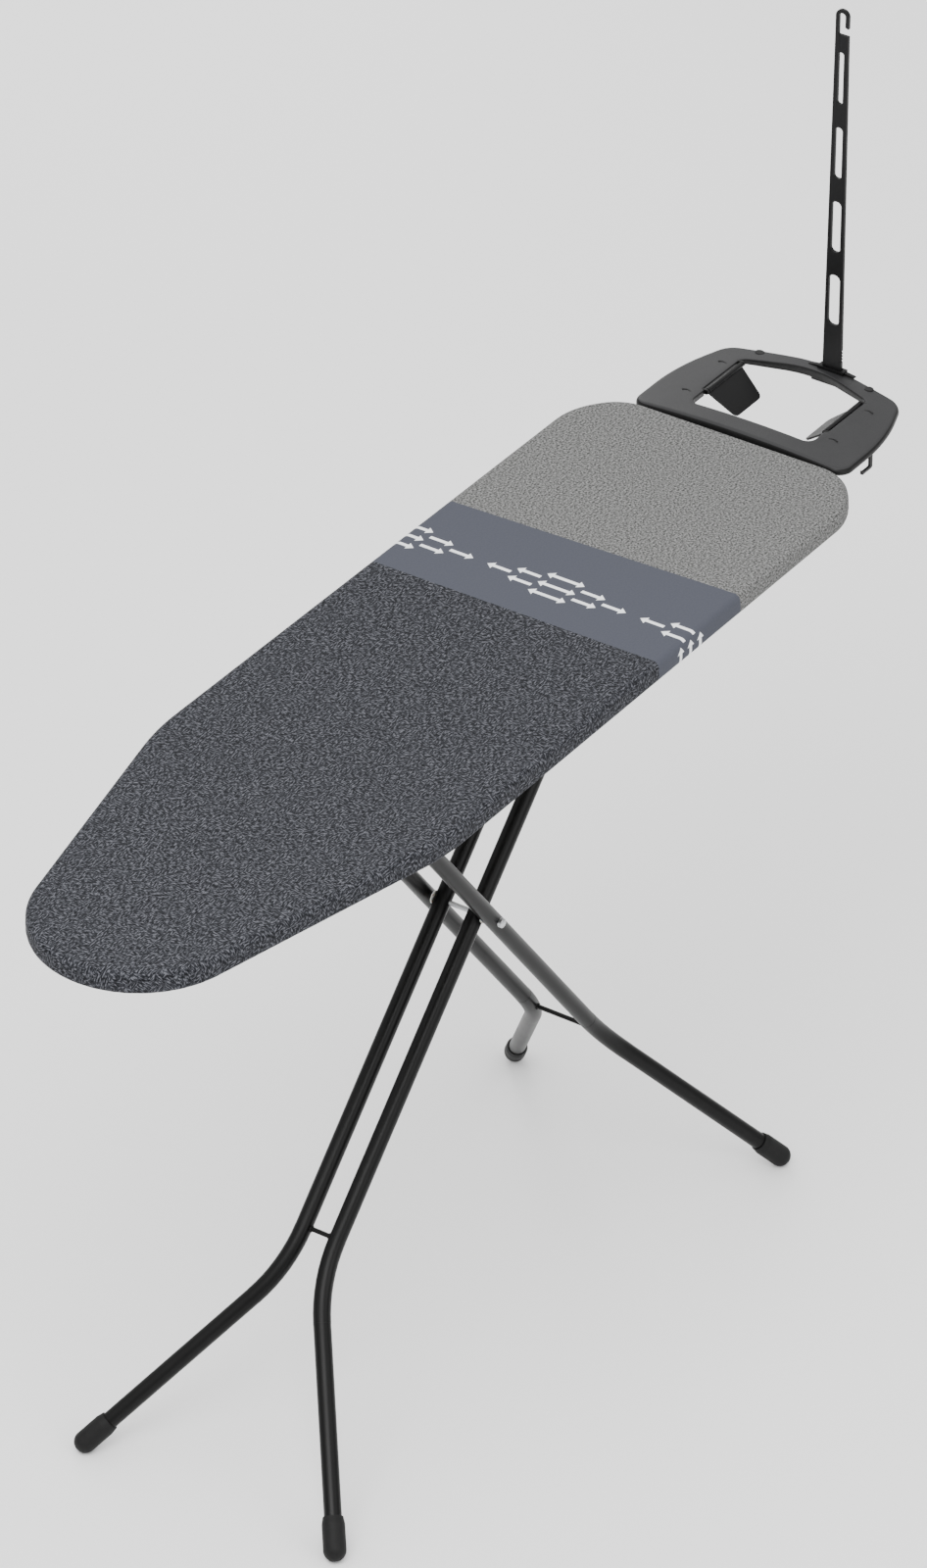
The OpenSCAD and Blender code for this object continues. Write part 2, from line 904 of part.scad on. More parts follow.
// A round wire swept along a list of points
module wire(points, d) {
    sides = 6;
    n = len(points);
    function ahead(i) = unit(points[min(i + 1, n - 1)] - points[max(i - 1, 0)]);
    function across(i) = unit(cross(ahead(i), [0, 1, 0.01]));
    rings = [
        for (i = [0:n - 1], k = [0:sides - 1])
            let (a = 360 * k / sides)
            points[i] + d / 2 * (cos(a) * across(i) + sin(a) * cross(ahead(i), across(i)))
    ];
    faces = concat(
        [[for (k = [0:sides - 1]) k]],
        [for (i = [0:n - 2], k = [0:sides - 1])
            let (j = (k + 1) % sides)
            [i * sides + k, (i + 1) * sides + k, (i + 1) * sides + j, i * sides + j]],
        [[for (k = [sides - 1:-1:0]) (n - 1) * sides + k]]
    );
    polyhedron(rings, faces);
}

// A torsion spring round the shaft, with its free leg rising towards the brace
module return_spring() {
    coil_r = lever_r + 0.5 + spring_wire / 2;
    pitch = spring_wire + 0.5;
    y0 = -inner_ear_y - 4;
    steps = 12;
    coil = [
        for (i = [0:steps * spring_turns])
            let (a = 360 * i / steps)
            [x_lever + coil_r * sin(a), y0 - pitch * i / steps, z_lever + coil_r * cos(a)]
    ];
    leg = [[x_lever - 11, y0 + 0.2, z_lever + coil_r + 2], [x_lever - 5, y0 + 0.1, z_lever + coil_r + 0.6]];
    color("silver")
        wire(concat(leg, coil), spring_wire);
}

// ---- Iron rest ----

rest = both_sides([
    [x_rest + rest_l, 20, 150],
    [x_rest + rest_l - 18, rest_half - 26, 28],
    [x_rest + 95, rest_half, 260],
    [x_rest, rest_half, 18]
]);

// The opening steps out beside each flap, where the hinge barrels turn
step_out = 5;
x_step = flap_x - 4;
x_step_end = flap_x + flap_l + 4;
opening = both_sides([
    [x_rest + rest_l - rear_bar, 20, 120],
    [x_step_end + 5, flap_y - 1, 6],
    [x_step_end, flap_y + step_out, 1.5],
    [x_step, flap_y + step_out, 1.5],
    [x_step, flap_y + 1.5, 1.5],
    [x_rest + front_bar, flap_y + 1.5, 12]
]);

// Everything below the crown: a wide block along the board with an arched top
module below_crown(drop) {
    w = rest_half + 2;
    strips = 20;
    function arch(y) = z_rest - drop - crown_r + sqrt(crown_r * crown_r - y * y);
    crosswise(concat([[-w, z_rest - 60, 0], [w, z_rest - 60, 0]],
        [for (i = [0:strips]) let (y = w - 2 * w * i / strips) [y, arch(y), 0]]),
        x_rest + rest_l / 2, rest_l + 20);
}

module screw_bosses(r, z, h) {
    for (x = arm_screw_x)
        two_sides()
            translate([x, arm_y, z])
                cylinder(h = h, r = r);
}

arm_screw_x = [x_rest + 46, x_rest + 122];
x_socket_half = 6;
socket_w = flex_foot_w + 10;

// A moulded shell, open below, with hinge ears, screw bosses and a pocket for the flex socket
module rest_frame() {
    color([0.22, 0.22, 0.23])
        difference() {
            union() {
                difference() {
                    intersection() {
                        band_between(0, 0, z_rest - rest_depth, rest_depth);
                        below_crown(0);
                    }
                    intersection() {
                        band_between(shell_t, shell_t, z_rest - rest_depth - eps, rest_depth);
                        below_crown(shell_t);
                    }
                    slab(inset(opening, -shell_t - eps), z_rest - rest_depth - eps,
                        rest_depth + eps - rest_inner_depth);
                }
                intersection() {
                    screw_bosses(screw_r + 2.5, z_arm + arm_t, 20);
                    below_crown(shell_t / 2);
                }
                two_sides()
                    flap_ears();
                rear_boss();
            }
            screw_bosses(screw_r, z_arm + arm_t - eps, 6);
            two_sides()
                x_rod(flap_x - 8, flap_y, z_flap, flap_pin_d / 2, flap_l + 16);
            socket_block(0.15, 10);
        }
}

// The rest's plan: its outline less its opening, each moved into the wall by a and b
module band_between(a, b, z, h) {
    translate([0, 0, z])
        linear_extrude(h)
            difference() {
                polygon(outline(inset(rest, a)));
                polygon(outline(inset(opening, -b)));
            }
}

// Two lugs that stand in from the opening's wall and hold a flap's pin
module flap_ears() {
    lug = 3;
    for (x = [flap_x - 0.4 - lug, flap_x + flap_l + 0.4])
        translate([x, flap_y - barrel_r, z_flap - barrel_r])
            cube([lug, step_out + barrel_r + 1, 2 * barrel_r]);
}

// The bar's thickened middle, which carries the socket
module rear_boss() {
    intersection() {
        translate([x_flex - 9, -flex_y - socket_w / 2 - 3, pocket_z - 5])
            cube([15, socket_w + 6, z_rest - pocket_z + 5]);
        below_crown(shell_t / 2);
    }
}

// The flex socket's body, or with a margin the pocket that takes it
module socket_block(margin, above) {
    w = socket_w / 2 + margin;
    translate([x_flex - x_socket_half + 1 - margin, -flex_y - w, pocket_z - 2])
        cube([2 * x_socket_half - 2 + 2 * margin, 2 * w, z_rest - pocket_z + above]);
}

// A collar with two thin wings along the bar, round the pocket for the holder's tongue
module flex_socket() {
    wing = 31;
    color([0.1, 0.1, 0.1])
        difference() {
            union() {
                socket_block(0, 6);
                crosswise([[-flex_y - wing, z_rest, 0], [-flex_y + wing, z_rest, 0],
                    [-flex_y + wing, z_rest + 0.8, 0], [-flex_y, z_rest + 5, 0],
                    [-flex_y - wing, z_rest + 0.8, 0]], x_flex, 5);
            }
            tongue(tongue_fit, 20);
        }
}

// The holder's tongue, or with a margin the pocket that takes it
module tongue(margin, above) {
    w = flex_foot_w / 2 + margin;
    translate([x_flex - flex_t / 2 - margin, -flex_y - w, pocket_z - margin])
        cube([flex_t + 2 * margin, 2 * w, tongue_l + 1 + margin + above]);
}

function flex_width(h) = flex_foot_w + (flex_top_w - flex_foot_w) * h / flex_h;
function slot_width(i) = slot_low_w + (slot_high_w - slot_low_w) * i / 3;

// A long strip with four slots, notched along one edge near its foot, and an open hook on top
module flex_holder() {
    top = flex_h - hook_h;
    half = flex_width(top) / 2;
    strip = [[-flex_foot_w / 2, -tongue_l, 0], [flex_foot_w / 2, -tongue_l, 0], [flex_foot_w / 2, 0, 0],
        [half, top, 0], [half, flex_h, half - 0.5], [-half, flex_h, half - 0.5],
        [-half, top, 0], [-flex_foot_w / 2, 0, 0]];
    color([0.1, 0.1, 0.1])
        translate([x_flex, -flex_y, z_rest])
            rotate([90, 0, 90])
                translate([0, 0, -flex_t / 2])
                    linear_extrude(flex_t)
                        difference() {
                            polygon(outline(strip));
                            for (i = [0:3])
                                slot(slot_z + i * slot_pitch, slot_width(i));
                            hook_loop(top, half);
                            for (k = [0:3])
                                translate([-flex_width(20) / 2, 16 + 4 * k])
                                    circle(1.2, $fn = 24);
                        }
}

module slot(z, w) {
    polygon(outline([[-w / 2, z, 0.45 * w], [w / 2, z, 0.45 * w],
        [w / 2, z + slot_l, 0.45 * w], [-w / 2, z + slot_l, 0.45 * w]]));
}

// The space inside the hook, and the way in between its barbed tip and the strip
module hook_loop(top, half) {
    w = half - hook_bar;
    gate = 9;
    polygon(outline([[-w, top, 1], [w, top, 1],
        [w, flex_h - hook_bar, w - 0.3], [-w, flex_h - hook_bar, w - 0.3]]));
    polygon([[-half - 1, top], [0, top], [0, top + gate + 3], [-half - 1, top + gate]]);
}

// A flap drawn level, with its hinge barrel on the far pin and its free edge towards the middle
module flap() {
    inset_l = (flap_l - flap_free_l) / 2;
    color([0.15, 0.15, 0.16])
        translate([flap_x, flap_y, z_flap])
            rotate([flap_tilt, 0, 0])
                difference() {
                    union() {
                        x_rod(0.4, 0, 0, barrel_r, flap_l - 0.8);
                        translate([0, 0, -barrel_r])
                            linear_extrude(flap_t)
                                polygon(outline([[0.4, 0, 0], [inset_l, -flap_w, flap_r],
                                    [inset_l + flap_free_l, -flap_w, flap_r], [flap_l - 0.4, 0, 0]]));
                    }
                    x_rod(-eps, 0, 0, flap_pin_d / 2 + run_fit, flap_l + 2 * eps);
                }
}

module rest_flap_far() {
    flap();
}

module rest_flap_near() {
    near_side()
        flap();
}

module flap_pin() {
    color("silver")
        x_rod(flap_x - 3.4, flap_y, z_flap, flap_pin_d / 2, flap_l + 6.8);
}

module flap_pin_far() {
    flap_pin();
}

module flap_pin_near() {
    near_side()
        flap_pin();
}

// A steel strap from the tail brace, down under the hem and up into the rest. It starts down
// in front of the place where it meets the end or the corner cut.
module rest_arm() {
    x0 = x_tail_brace - brace_w / 2;
    x_edge = min(x_tail, x_tail - corner_x + (board_w / 2 - arm_y - arm_w / 2) * corner_x / corner_y);
    x_down = x_edge - hem_w - 18;
    x_up = x_rest + 12;
    x_end = x_rest + 134;
    run = 14;
    fall = min(run, x_down - x_tail_brace - brace_w / 2 - 1);
    t = arm_t;
    zt = z_brace - t;
    color("dimgray")
        difference() {
            upright([[x0, zt, 0], [x_down - fall, zt, 0], [x_down, z_dip, 0], [x_up, z_dip, 0],
                [x_up + run, z_arm, 0], [x_end, z_arm, 0], [x_end, z_arm + t, 0],
                [x_up + run - t / 2, z_arm + t, 0], [x_up - t / 2, z_dip + t, 0],
                [x_down + t / 2, z_dip + t, 0], [x_down - fall + t / 2, zt + t, 0],
                [x0, zt + t, 0]], arm_y, arm_w);
            for (x = arm_screw_x)
                translate([x, arm_y, z_arm - eps])
                    cylinder(h = t + 2 * eps, r = screw_r);
            for (x = arm_bolt_x)
                translate([x, arm_y, zt - eps])
                    cylinder(h = t + 2 * eps, r = screw_r);
        }
}

arm_bolt_x = [x_tail_brace - 8, x_tail_brace + 8];

module rest_arm_far() {
    rest_arm();
}

module rest_arm_near() {
    near_side()
        rest_arm();
}

// Pan-head screws, up through the arms into the rest's bosses
module rest_screws() {
    color("silver")
        for (x = arm_screw_x)
            two_sides()
                translate([x, arm_y, z_arm]) {
                    cylinder(h = arm_t + 5, r = screw_r);
                    translate([0, 0, -2.4])
                        cylinder(h = 2.4, r1 = 1.7 * screw_r, r2 = 2 * screw_r);
                }
}

// Short bolts with hexagon heads, up through the arms into the tail brace's web
module arm_bolts() {
    color("silver")
        for (x = arm_bolt_x)
            two_sides()
                translate([x, arm_y, z_brace - arm_t]) {
                    cylinder(h = arm_t, r = screw_r);
                    translate([0, 0, -2.8])
                        cylinder(h = 2.8, r = 2 * screw_r, $fn = 6);
                }
}

// A finger under the near side of the rest, where a cleaning cloth or the flex hangs
module side_hook() {
    x = x_rest + 64;
    top = z_rest - rest_depth;
    low = top - 17;
    y = -(rest_half - shell_t / 2 - 0.3);
    color([0.15, 0.15, 0.16])
        upright([[x - 22, low, 1.5], [x, low, 3], [x, top, 0], [x - 5, top, 0],
            [x - 5, low + 3.5, 1.5], [x - 20, low + 3.5, 1], [x - 20, low + 5, 0.6],
            [x - 22, low + 5, 0.6]], y, shell_t);
}

// ---- The part, one line for each piece ----

cover();
pad();
deck_sheet();
deck_rim();
nose_brace();
lever_brace();
middle_brace();
hinge_brace();
tail_brace_bar();
guide_rail_far();
guide_rail_near();
hinge_bracket();
lever_bracket_inner();
lever_bracket_outer();
return_spring();
rest_arm_far();
rest_arm_near();
arm_bolts();
rest_frame();
rest_screws();
flap_pin_far();
flap_pin_near();
side_hook();
flex_socket();
inner_tube_far();
inner_tube_near();
inner_strut();
hinge_pin();
hinge_pin_clips();
inner_tube_plugs();
inner_foot_cap_far();
inner_foot_cap_near();
scissor_axle();
axle_head_far();
axle_head_near();
axle_washers();
outer_tube_far();
outer_tube_near();
outer_strut();
slide_bar();
glide_far();
glide_near();
outer_tube_plugs();
outer_foot_cap_far();
outer_foot_cap_near();
lever_shaft();
latch_rack();
lever_arm();
lever_grip();
rest_flap_far();
rest_flap_near();
flex_holder();
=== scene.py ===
import math

import bpy
import numpy as np
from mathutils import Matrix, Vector
from mathutils.geometry import delaunay_2d_cdt


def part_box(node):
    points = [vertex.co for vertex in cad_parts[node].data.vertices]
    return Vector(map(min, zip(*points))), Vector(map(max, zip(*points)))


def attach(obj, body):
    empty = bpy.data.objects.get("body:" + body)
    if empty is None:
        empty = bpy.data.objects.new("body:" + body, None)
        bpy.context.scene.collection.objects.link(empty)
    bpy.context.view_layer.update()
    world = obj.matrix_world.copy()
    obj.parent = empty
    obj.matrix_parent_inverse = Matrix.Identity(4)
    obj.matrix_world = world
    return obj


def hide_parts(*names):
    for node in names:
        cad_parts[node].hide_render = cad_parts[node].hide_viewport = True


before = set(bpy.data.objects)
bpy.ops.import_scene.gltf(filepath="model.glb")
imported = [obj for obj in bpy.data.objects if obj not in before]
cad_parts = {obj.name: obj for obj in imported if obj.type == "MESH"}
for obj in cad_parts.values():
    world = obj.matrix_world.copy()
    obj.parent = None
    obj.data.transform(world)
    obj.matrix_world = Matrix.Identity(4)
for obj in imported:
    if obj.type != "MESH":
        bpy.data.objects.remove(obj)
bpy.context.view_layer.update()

# ---- Camera ----
# A long lens well back from the board, above the near side and in front of the nose,
# so that the two long edges stay nearly parallel.
MM = 0.001          # one millimetre in the scene's metres
SENSOR_MM, LENS_MM = 36, 178.1
STAND_MM = (-5896.6, -3981.2, 5433.4)
view_az, view_el = math.radians(-55.92), math.radians(33.78)
towards_camera = Vector((
    math.sin(view_az) * math.cos(view_el),
    -math.cos(view_az) * math.cos(view_el),
    math.sin(view_el),
))
lens = bpy.data.cameras.new("studio_lens")
lens.sensor_width = SENSOR_MM
lens.lens = LENS_MM
lens.clip_end = 60
camera = bpy.data.objects.new("studio_camera", lens)
camera.location = Vector(STAND_MM) * MM
camera.rotation_mode = "QUATERNION"
camera.rotation_quaternion = (-towards_camera).to_track_quat("-Z", "Y")
bpy.context.scene.collection.objects.link(camera)
bpy.context.scene.camera = camera


# ---- Studio ----
# A pale painted floor under a white ceiling that fades towards the horizon, and three
# large diffusers: a key on the nose side, a near fill and a strip that rims the tubes.
def tint(code):
    """An sRGB hex colour as the linear colour that a shader takes."""
    parts = [int(code[i:i + 2], 16) / 255 for i in (1, 3, 5)]
    linear = [c / 12.92 if c <= 0.04045 else ((c + 0.055) / 1.055) ** 2.4 for c in parts]
    return (*linear, 1.0)


def add(tree, kind, inputs=None, **settings):
    """A shader node with its settings; each input is a value or another node's output."""
    node = tree.nodes.new("ShaderNode" + kind)
    for name, value in settings.items():
        setattr(node, name, value)
    for key, value in (inputs or {}).items():
        if isinstance(value, bpy.types.NodeSocket):
            tree.links.new(value, node.inputs[key])
        else:
            node.inputs[key].default_value = value
    return node


def new_material(name):
    """An empty node material, and its tree."""
    material = bpy.data.materials.new(name)
    material.use_nodes = True
    material.node_tree.nodes.clear()
    return material, material.node_tree


def new_object(name, points, faces, material, smooth=True):
    """A mesh object in the scene, from points in metres."""
    mesh = bpy.data.meshes.new(name)
    mesh.from_pydata([tuple(p) for p in points], [], [tuple(f) for f in faces])
    mesh.update()
    mesh.materials.append(material)
    mesh.polygons.foreach_set("use_smooth", [smooth] * len(mesh.polygons))
    thing = bpy.data.objects.new(name, mesh)
    bpy.context.scene.collection.objects.link(thing)
    return thing


floor_paint, tree = new_material("matt_floor_paint")
place = add(tree, "TexCoord").outputs["Object"]
cloud = add(tree, "TexNoise", {"Vector": place, "Scale": 0.8, "Detail": 2})
shade = add(tree, "MixRGB", {0: cloud.outputs["Fac"], 1: tint("#f1f1f1"), 2: tint("#f6f6f6")})
paint = add(tree, "BsdfPrincipled", {"Base Color": shade.outputs[0], "Roughness": 0.9})
add(tree, "OutputMaterial", {"Surface": paint.outputs[0]})
FLOOR = 12
floor = new_object(
    "studio_floor",
    [(-FLOOR, -FLOOR, 0), (FLOOR, -FLOOR, 0), (FLOOR, FLOOR, 0), (-FLOOR, FLOOR, 0)],
    [(0, 1, 2, 3)],
    floor_paint,
)

room = bpy.data.worlds.new("white_room")
bpy.context.scene.world = room
room.use_nodes = True
tree = room.node_tree
tree.nodes.clear()
HORIZON, CEILING = 0.45, 2.7
upward = add(tree, "SeparateXYZ", {0: add(tree, "TexCoord").outputs["Generated"]}).outputs[2]
glow = add(tree, "MapRange", {"Value": upward, "To Min": HORIZON, "To Max": CEILING})
sky = add(tree, "Background", {"Strength": glow.outputs[0]})
add(tree, "OutputWorld", {"Surface": sky.outputs[0]})

AIM = Vector((0.0, 0.0, 0.75))
for name, place, width, height, power in (
    ("key", (-2.2, -0.6, 3.4), 2.6, 2.0, 120),
    ("fill", (-0.6, -3.6, 1.9), 2.8, 1.8, 40),
    ("rim", (2.6, 2.6, 2.2), 1.2, 2.4, 35),
):
    diffuser = bpy.data.lights.new("diffuser_" + name, "AREA")
    diffuser.shape = "RECTANGLE"
    diffuser.size, diffuser.size_y, diffuser.energy = width, height, power
    lamp = bpy.data.objects.new("diffuser_" + name, diffuser)
    lamp.location = place
    lamp.rotation_mode = "QUATERNION"
    lamp.rotation_quaternion = (AIM - lamp.location).to_track_quat("-Z", "Y")
    bpy.context.scene.collection.objects.link(lamp)


# ---- Deck steel ----
# The rolled rim, the braces, the slide rails, the pressed brackets and the straps that
# hold the rest: mild steel, spot welded and then sprayed with thin dark-grey enamel.
def dress(material, *names):
    """Gives CAD nodes their material."""
    for name in names:
        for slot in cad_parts[name].material_slots:
            slot.material = material


def soften(width, *names):
    """Rounds the sharp edges of CAD nodes by a width in millimetres."""
    for name in names:
        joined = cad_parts[name].modifiers.new("joined", "WELD")
        joined.merge_threshold = 0.00001
        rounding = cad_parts[name].modifiers.new("rounded edges", "BEVEL")
        rounding.width, rounding.segments = width * MM, 2
        rounding.limit_method, rounding.angle_limit = "ANGLE", math.radians(50)
        rounding.harden_normals = True


PEEL_MM = 1.8       # ripple of a sprayed coat, drawn a little coarse so that it shows
steel_grey, tree = new_material("sprayed_enamel_on_steel")
# Thin spray over steel: nearly black grey, half gloss, with a faint ripple and cloudy patches.
place = add(tree, "TexCoord").outputs["Object"]
ripple = add(tree, "TexNoise", {"Vector": place, "Scale": 1 / (PEEL_MM * MM), "Detail": 1})
patch = add(tree, "TexNoise", {"Vector": place, "Scale": 30, "Detail": 3})
shade = add(tree, "MixRGB", {0: patch.outputs["Fac"], 1: tint("#151617"), 2: tint("#1f2021")})
gloss = add(tree, "MapRange", {"Value": patch.outputs["Fac"], "To Min": 0.38, "To Max": 0.55})
bump = add(tree, "Bump", {"Height": ripple.outputs["Fac"], "Strength": 0.12, "Distance": 0.0002})
enamel = add(tree, "BsdfPrincipled", {
    "Base Color": shade.outputs[0],
    "Roughness": gloss.outputs[0],
    "Specular IOR Level": 0.3,
    "Normal": bump.outputs[0],
})
add(tree, "OutputMaterial", {"Surface": enamel.outputs[0]})
dress(
    steel_grey, "deck_rim", "nose_brace", "lever_brace", "middle_brace",
    "hinge_brace", "tail_brace_bar", "guide_rail_far", "guide_rail_near",
    "hinge_bracket", "lever_bracket_inner", "lever_bracket_outer",
    "rest_arm_far", "rest_arm_near",
)

# ---- Deck sheet ----
# Expanded steel mesh: slit and stretched 1 mm sheet with 30 by 13 mm diamonds, trimmed to
# the deck's outline and spot welded on the rim's upper lip, which hides its cut ends.
NOSE_X, TAIL_X = -728.0, 536.0
HALF_W = 190.0
NOSE_R, TAPER_L = 121.0, 405.0
CUT_X, CUT_Y = 52, 41       # how far each rear corner is cut along the side and the end
turn = Vector((TAPER_L - NOSE_R, HALF_W))
taper = math.atan2(turn.y, turn.x) - math.asin(NOSE_R / turn.length)


def both_sides(far):
    """The far half's corners, tail to nose, and their mirror images."""
    return far + [(x, -y, r) for x, y, r in reversed(far)]


DECK_CORNERS = both_sides([     # x, y and radius of each corner
    (TAIL_X, HALF_W - CUT_Y, 60),
    (TAIL_X - CUT_X, HALF_W, 88),
    (NOSE_X + TAPER_L, HALF_W, 300),
    (NOSE_X, HALF_W - TAPER_L * math.tan(taper), NOSE_R),
])
AROUND = 520        # points round the deck's edge, 6 mm apart
ARC_POINTS = 40     # steps in each corner before the outline is respaced


def rounded_loop(corners, count):
    """Points evenly spaced round an outline, the outward direction and distance at each."""
    dense = []
    for i, (x, y, r) in enumerate(corners):
        here = np.array((x, y))
        before = np.array(corners[i - 1][:2]) - here
        after = np.array(corners[(i + 1) % len(corners)][:2]) - here
        before, after = before / np.linalg.norm(before), after / np.linalg.norm(after)
        half = math.acos(before @ after) / 2
        middle = here + (before + after) / np.linalg.norm(before + after) * r / math.sin(half)
        start = here + before * r / math.tan(half) - middle
        bend = -1 if before[0] * after[1] > before[1] * after[0] else 1
        sweep = bend * (math.pi - 2 * half)
        for k in range(ARC_POINTS + 1):
            a = math.atan2(start[1], start[0]) + sweep * k / ARC_POINTS
            dense.append(middle + r * np.array((math.cos(a), math.sin(a))))
    loop = np.array(dense + dense[:1])
    along = np.concatenate([[0], np.cumsum(np.linalg.norm(np.diff(loop, axis=0), axis=1))])
    at = np.linspace(0, along[-1], count, endpoint=False)
    ring = np.stack([np.interp(at, along, loop[:, k]) for k in (0, 1)], axis=1)
    forward = np.roll(ring, -1, axis=0) - np.roll(ring, 1, axis=0)
    forward /= np.linalg.norm(forward, axis=1)[:, None]
    return ring, np.stack([forward[:, 1], -forward[:, 0]], axis=1), at


def within(ring, x, y):
    """Whether a point lies inside a ring of points."""
    a, b = ring, np.roll(ring, -1, axis=0)
    crosses = (a[:, 1] > y) != (b[:, 1] > y)
    run = (b[crosses, 0] - a[crosses, 0]) * (y - a[crosses, 1])
    return (a[crosses, 0] + run / (b[crosses, 1] - a[crosses, 1]) > x).sum() % 2 == 1


edge, outward, along_edge = rounded_loop(DECK_CORNERS, AROUND)

LONG_MM, SHORT_MM = 15.0, 6.5       # half a diamond, from middle to middle of its strands
STRAND_MM = 1.8
SHEET_MM, SHEET_Z = 1.0, 848.8
TRIM_MM = 5         # how far in from the deck's edge the sheet ends
trim = edge - outward * TRIM_MM
reach = LONG_MM * SHORT_MM / math.hypot(LONG_MM, SHORT_MM)
shrink = 1 - STRAND_MM / 2 / reach
points, faces, known = [], [], {}
for row in range(-int(HALF_W / SHORT_MM), int(HALF_W / SHORT_MM) + 1):
    for column in range(int((TAIL_X - NOSE_X) / LONG_MM)):
        if (row + column) % 2:
            continue
        x, y = NOSE_X + LONG_MM * column, SHORT_MM * row
        tips = [(x + LONG_MM, y), (x, y + SHORT_MM), (x - LONG_MM, y), (x, y - SHORT_MM)]
        if not all(within(trim, *t) for t in tips):
            continue
        outer = []
        for t in tips:
            if t not in known:
                known[t] = len(points)
                points.append((*t, SHEET_Z))
            outer.append(known[t])
        inner = range(len(points), len(points) + 4)
        points += [(x + (a - x) * shrink, y + (b - y) * shrink, SHEET_Z) for a, b in tips]
        faces += [(outer[k], outer[(k + 1) % 4], inner[(k + 1) % 4], inner[k]) for k in range(4)]
mesh_sheet = new_object("expanded_mesh_piece", np.array(points) * MM, faces, steel_grey, False)
gauge = mesh_sheet.modifiers.new("sheet gauge", "SOLIDIFY")
gauge.thickness, gauge.offset = SHEET_MM * MM, -1
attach(mesh_sheet, "board")
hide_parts("deck_sheet")

# ---- Legs ----
# Two pairs of 20 mm welded tube, bent once, with a wire strut across each pair. They
# are powder coated satin black after welding.
powder_black, tree = new_material("satin_powder_coat")
# Baked powder: deep black, satin, with the fine orange peel that breaks up a highlight.
place = add(tree, "TexCoord").outputs["Object"]
peel = add(tree, "TexNoise", {"Vector": place, "Scale": 1 / (PEEL_MM * MM), "Detail": 2})
drift = add(tree, "TexNoise", {"Vector": place, "Scale": 18, "Detail": 2})
shade = add(tree, "MixRGB", {0: drift.outputs["Fac"], 1: tint("#060606"), 2: tint("#0c0c0c")})
gloss = add(tree, "MapRange", {"Value": drift.outputs["Fac"], "To Min": 0.30, "To Max": 0.42})
bump = add(tree, "Bump", {"Height": peel.outputs["Fac"], "Strength": 0.10, "Distance": 0.0002})
powder = add(tree, "BsdfPrincipled", {
    "Base Color": shade.outputs[0],
    "Roughness": gloss.outputs[0],
    "Specular IOR Level": 0.16,
    "Normal": bump.outputs[0],
})
add(tree, "OutputMaterial", {"Surface": powder.outputs[0]})
dress(
    powder_black, "inner_tube_far", "inner_tube_near", "inner_strut",
    "outer_tube_far", "outer_tube_near", "outer_strut",
)

BEAD_MM = 1.3       # the weld's radius where a strut's end meets its tube
BEAD_SINK_MM = 0.6  # how far it is sunk into the tube's wall
BEAD_TURN, BEAD_SIDES = 24, 8
for strut, leg in (("inner_strut", "inner_leg"), ("outer_strut", "outer_leg")):
    low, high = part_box(strut)
    around = (high[2] - low[2]) / 2 + 0.2 * MM      # just clear of the wire
    for side, y in (("far", high[1]), ("near", low[1])):
        points, faces = [], []
        for i in range(BEAD_TURN):
            a = 2 * math.pi * i / BEAD_TURN
            swell = BEAD_MM * MM * (1 + 0.12 * math.sin(5 * a))
            for k in range(BEAD_SIDES):
                b = 2 * math.pi * k / BEAD_SIDES
                out = around + swell * math.cos(b)
                points.append((
                    (low[0] + high[0]) / 2 + out * math.cos(a),
                    y - math.copysign(BEAD_SINK_MM * MM, y) + swell * math.sin(b),
                    (low[2] + high[2]) / 2 + out * math.sin(a),
                ))
                j, m = (i + 1) % BEAD_TURN, (k + 1) % BEAD_SIDES
                here, there = BEAD_SIDES * i, BEAD_SIDES * j
                faces.append((here + k, here + m, there + m, there + k))
        bead = new_object(f"{strut}_weld_{side}", points, faces, powder_black)
        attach(bead, leg)

# ---- Feet and tube plugs ----
# Soft black rubber cups pushed on the tubes' ends, and hard plugs in their tops. They
# are moulded, so they have a dull, faintly dusty skin.
rubber, tree = new_material("moulded_rubber")
# Rubber: matt charcoal with a bloom that lightens it in soft patches.
place = add(tree, "TexCoord").outputs["Object"]
bloom = add(tree, "TexNoise", {"Vector": place, "Scale": 120, "Detail": 4, "Roughness": 0.6})
shade = add(tree, "MixRGB", {0: bloom.outputs["Fac"], 1: tint("#0b0b0b"), 2: tint("#141414")})
bump = add(tree, "Bump", {"Height": bloom.outputs["Fac"], "Strength": 0.15, "Distance": 0.0003})
skin = add(tree, "BsdfPrincipled", {
    "Base Color": shade.outputs[0],
    "Roughness": 0.62,
    "Specular IOR Level": 0.2,
    "Normal": bump.outputs[0],
})
add(tree, "OutputMaterial", {"Surface": skin.outputs[0]})
dress(
    rubber, "inner_foot_cap_far", "inner_foot_cap_near",
    "outer_foot_cap_far", "outer_foot_cap_near", "inner_tube_plugs", "outer_tube_plugs",
)

# ---- Pins, bars and fasteners ----
# The scissor axle with its rivet heads, the hinge pin, slide bar, latch rack, lever
# shaft, spring and screws: turned or drawn steel, plated with bright zinc.
DRAW_MM = 0.6       # spacing of the drawing marks, coarse enough to show
zinc, tree = new_material("zinc_plated_steel")
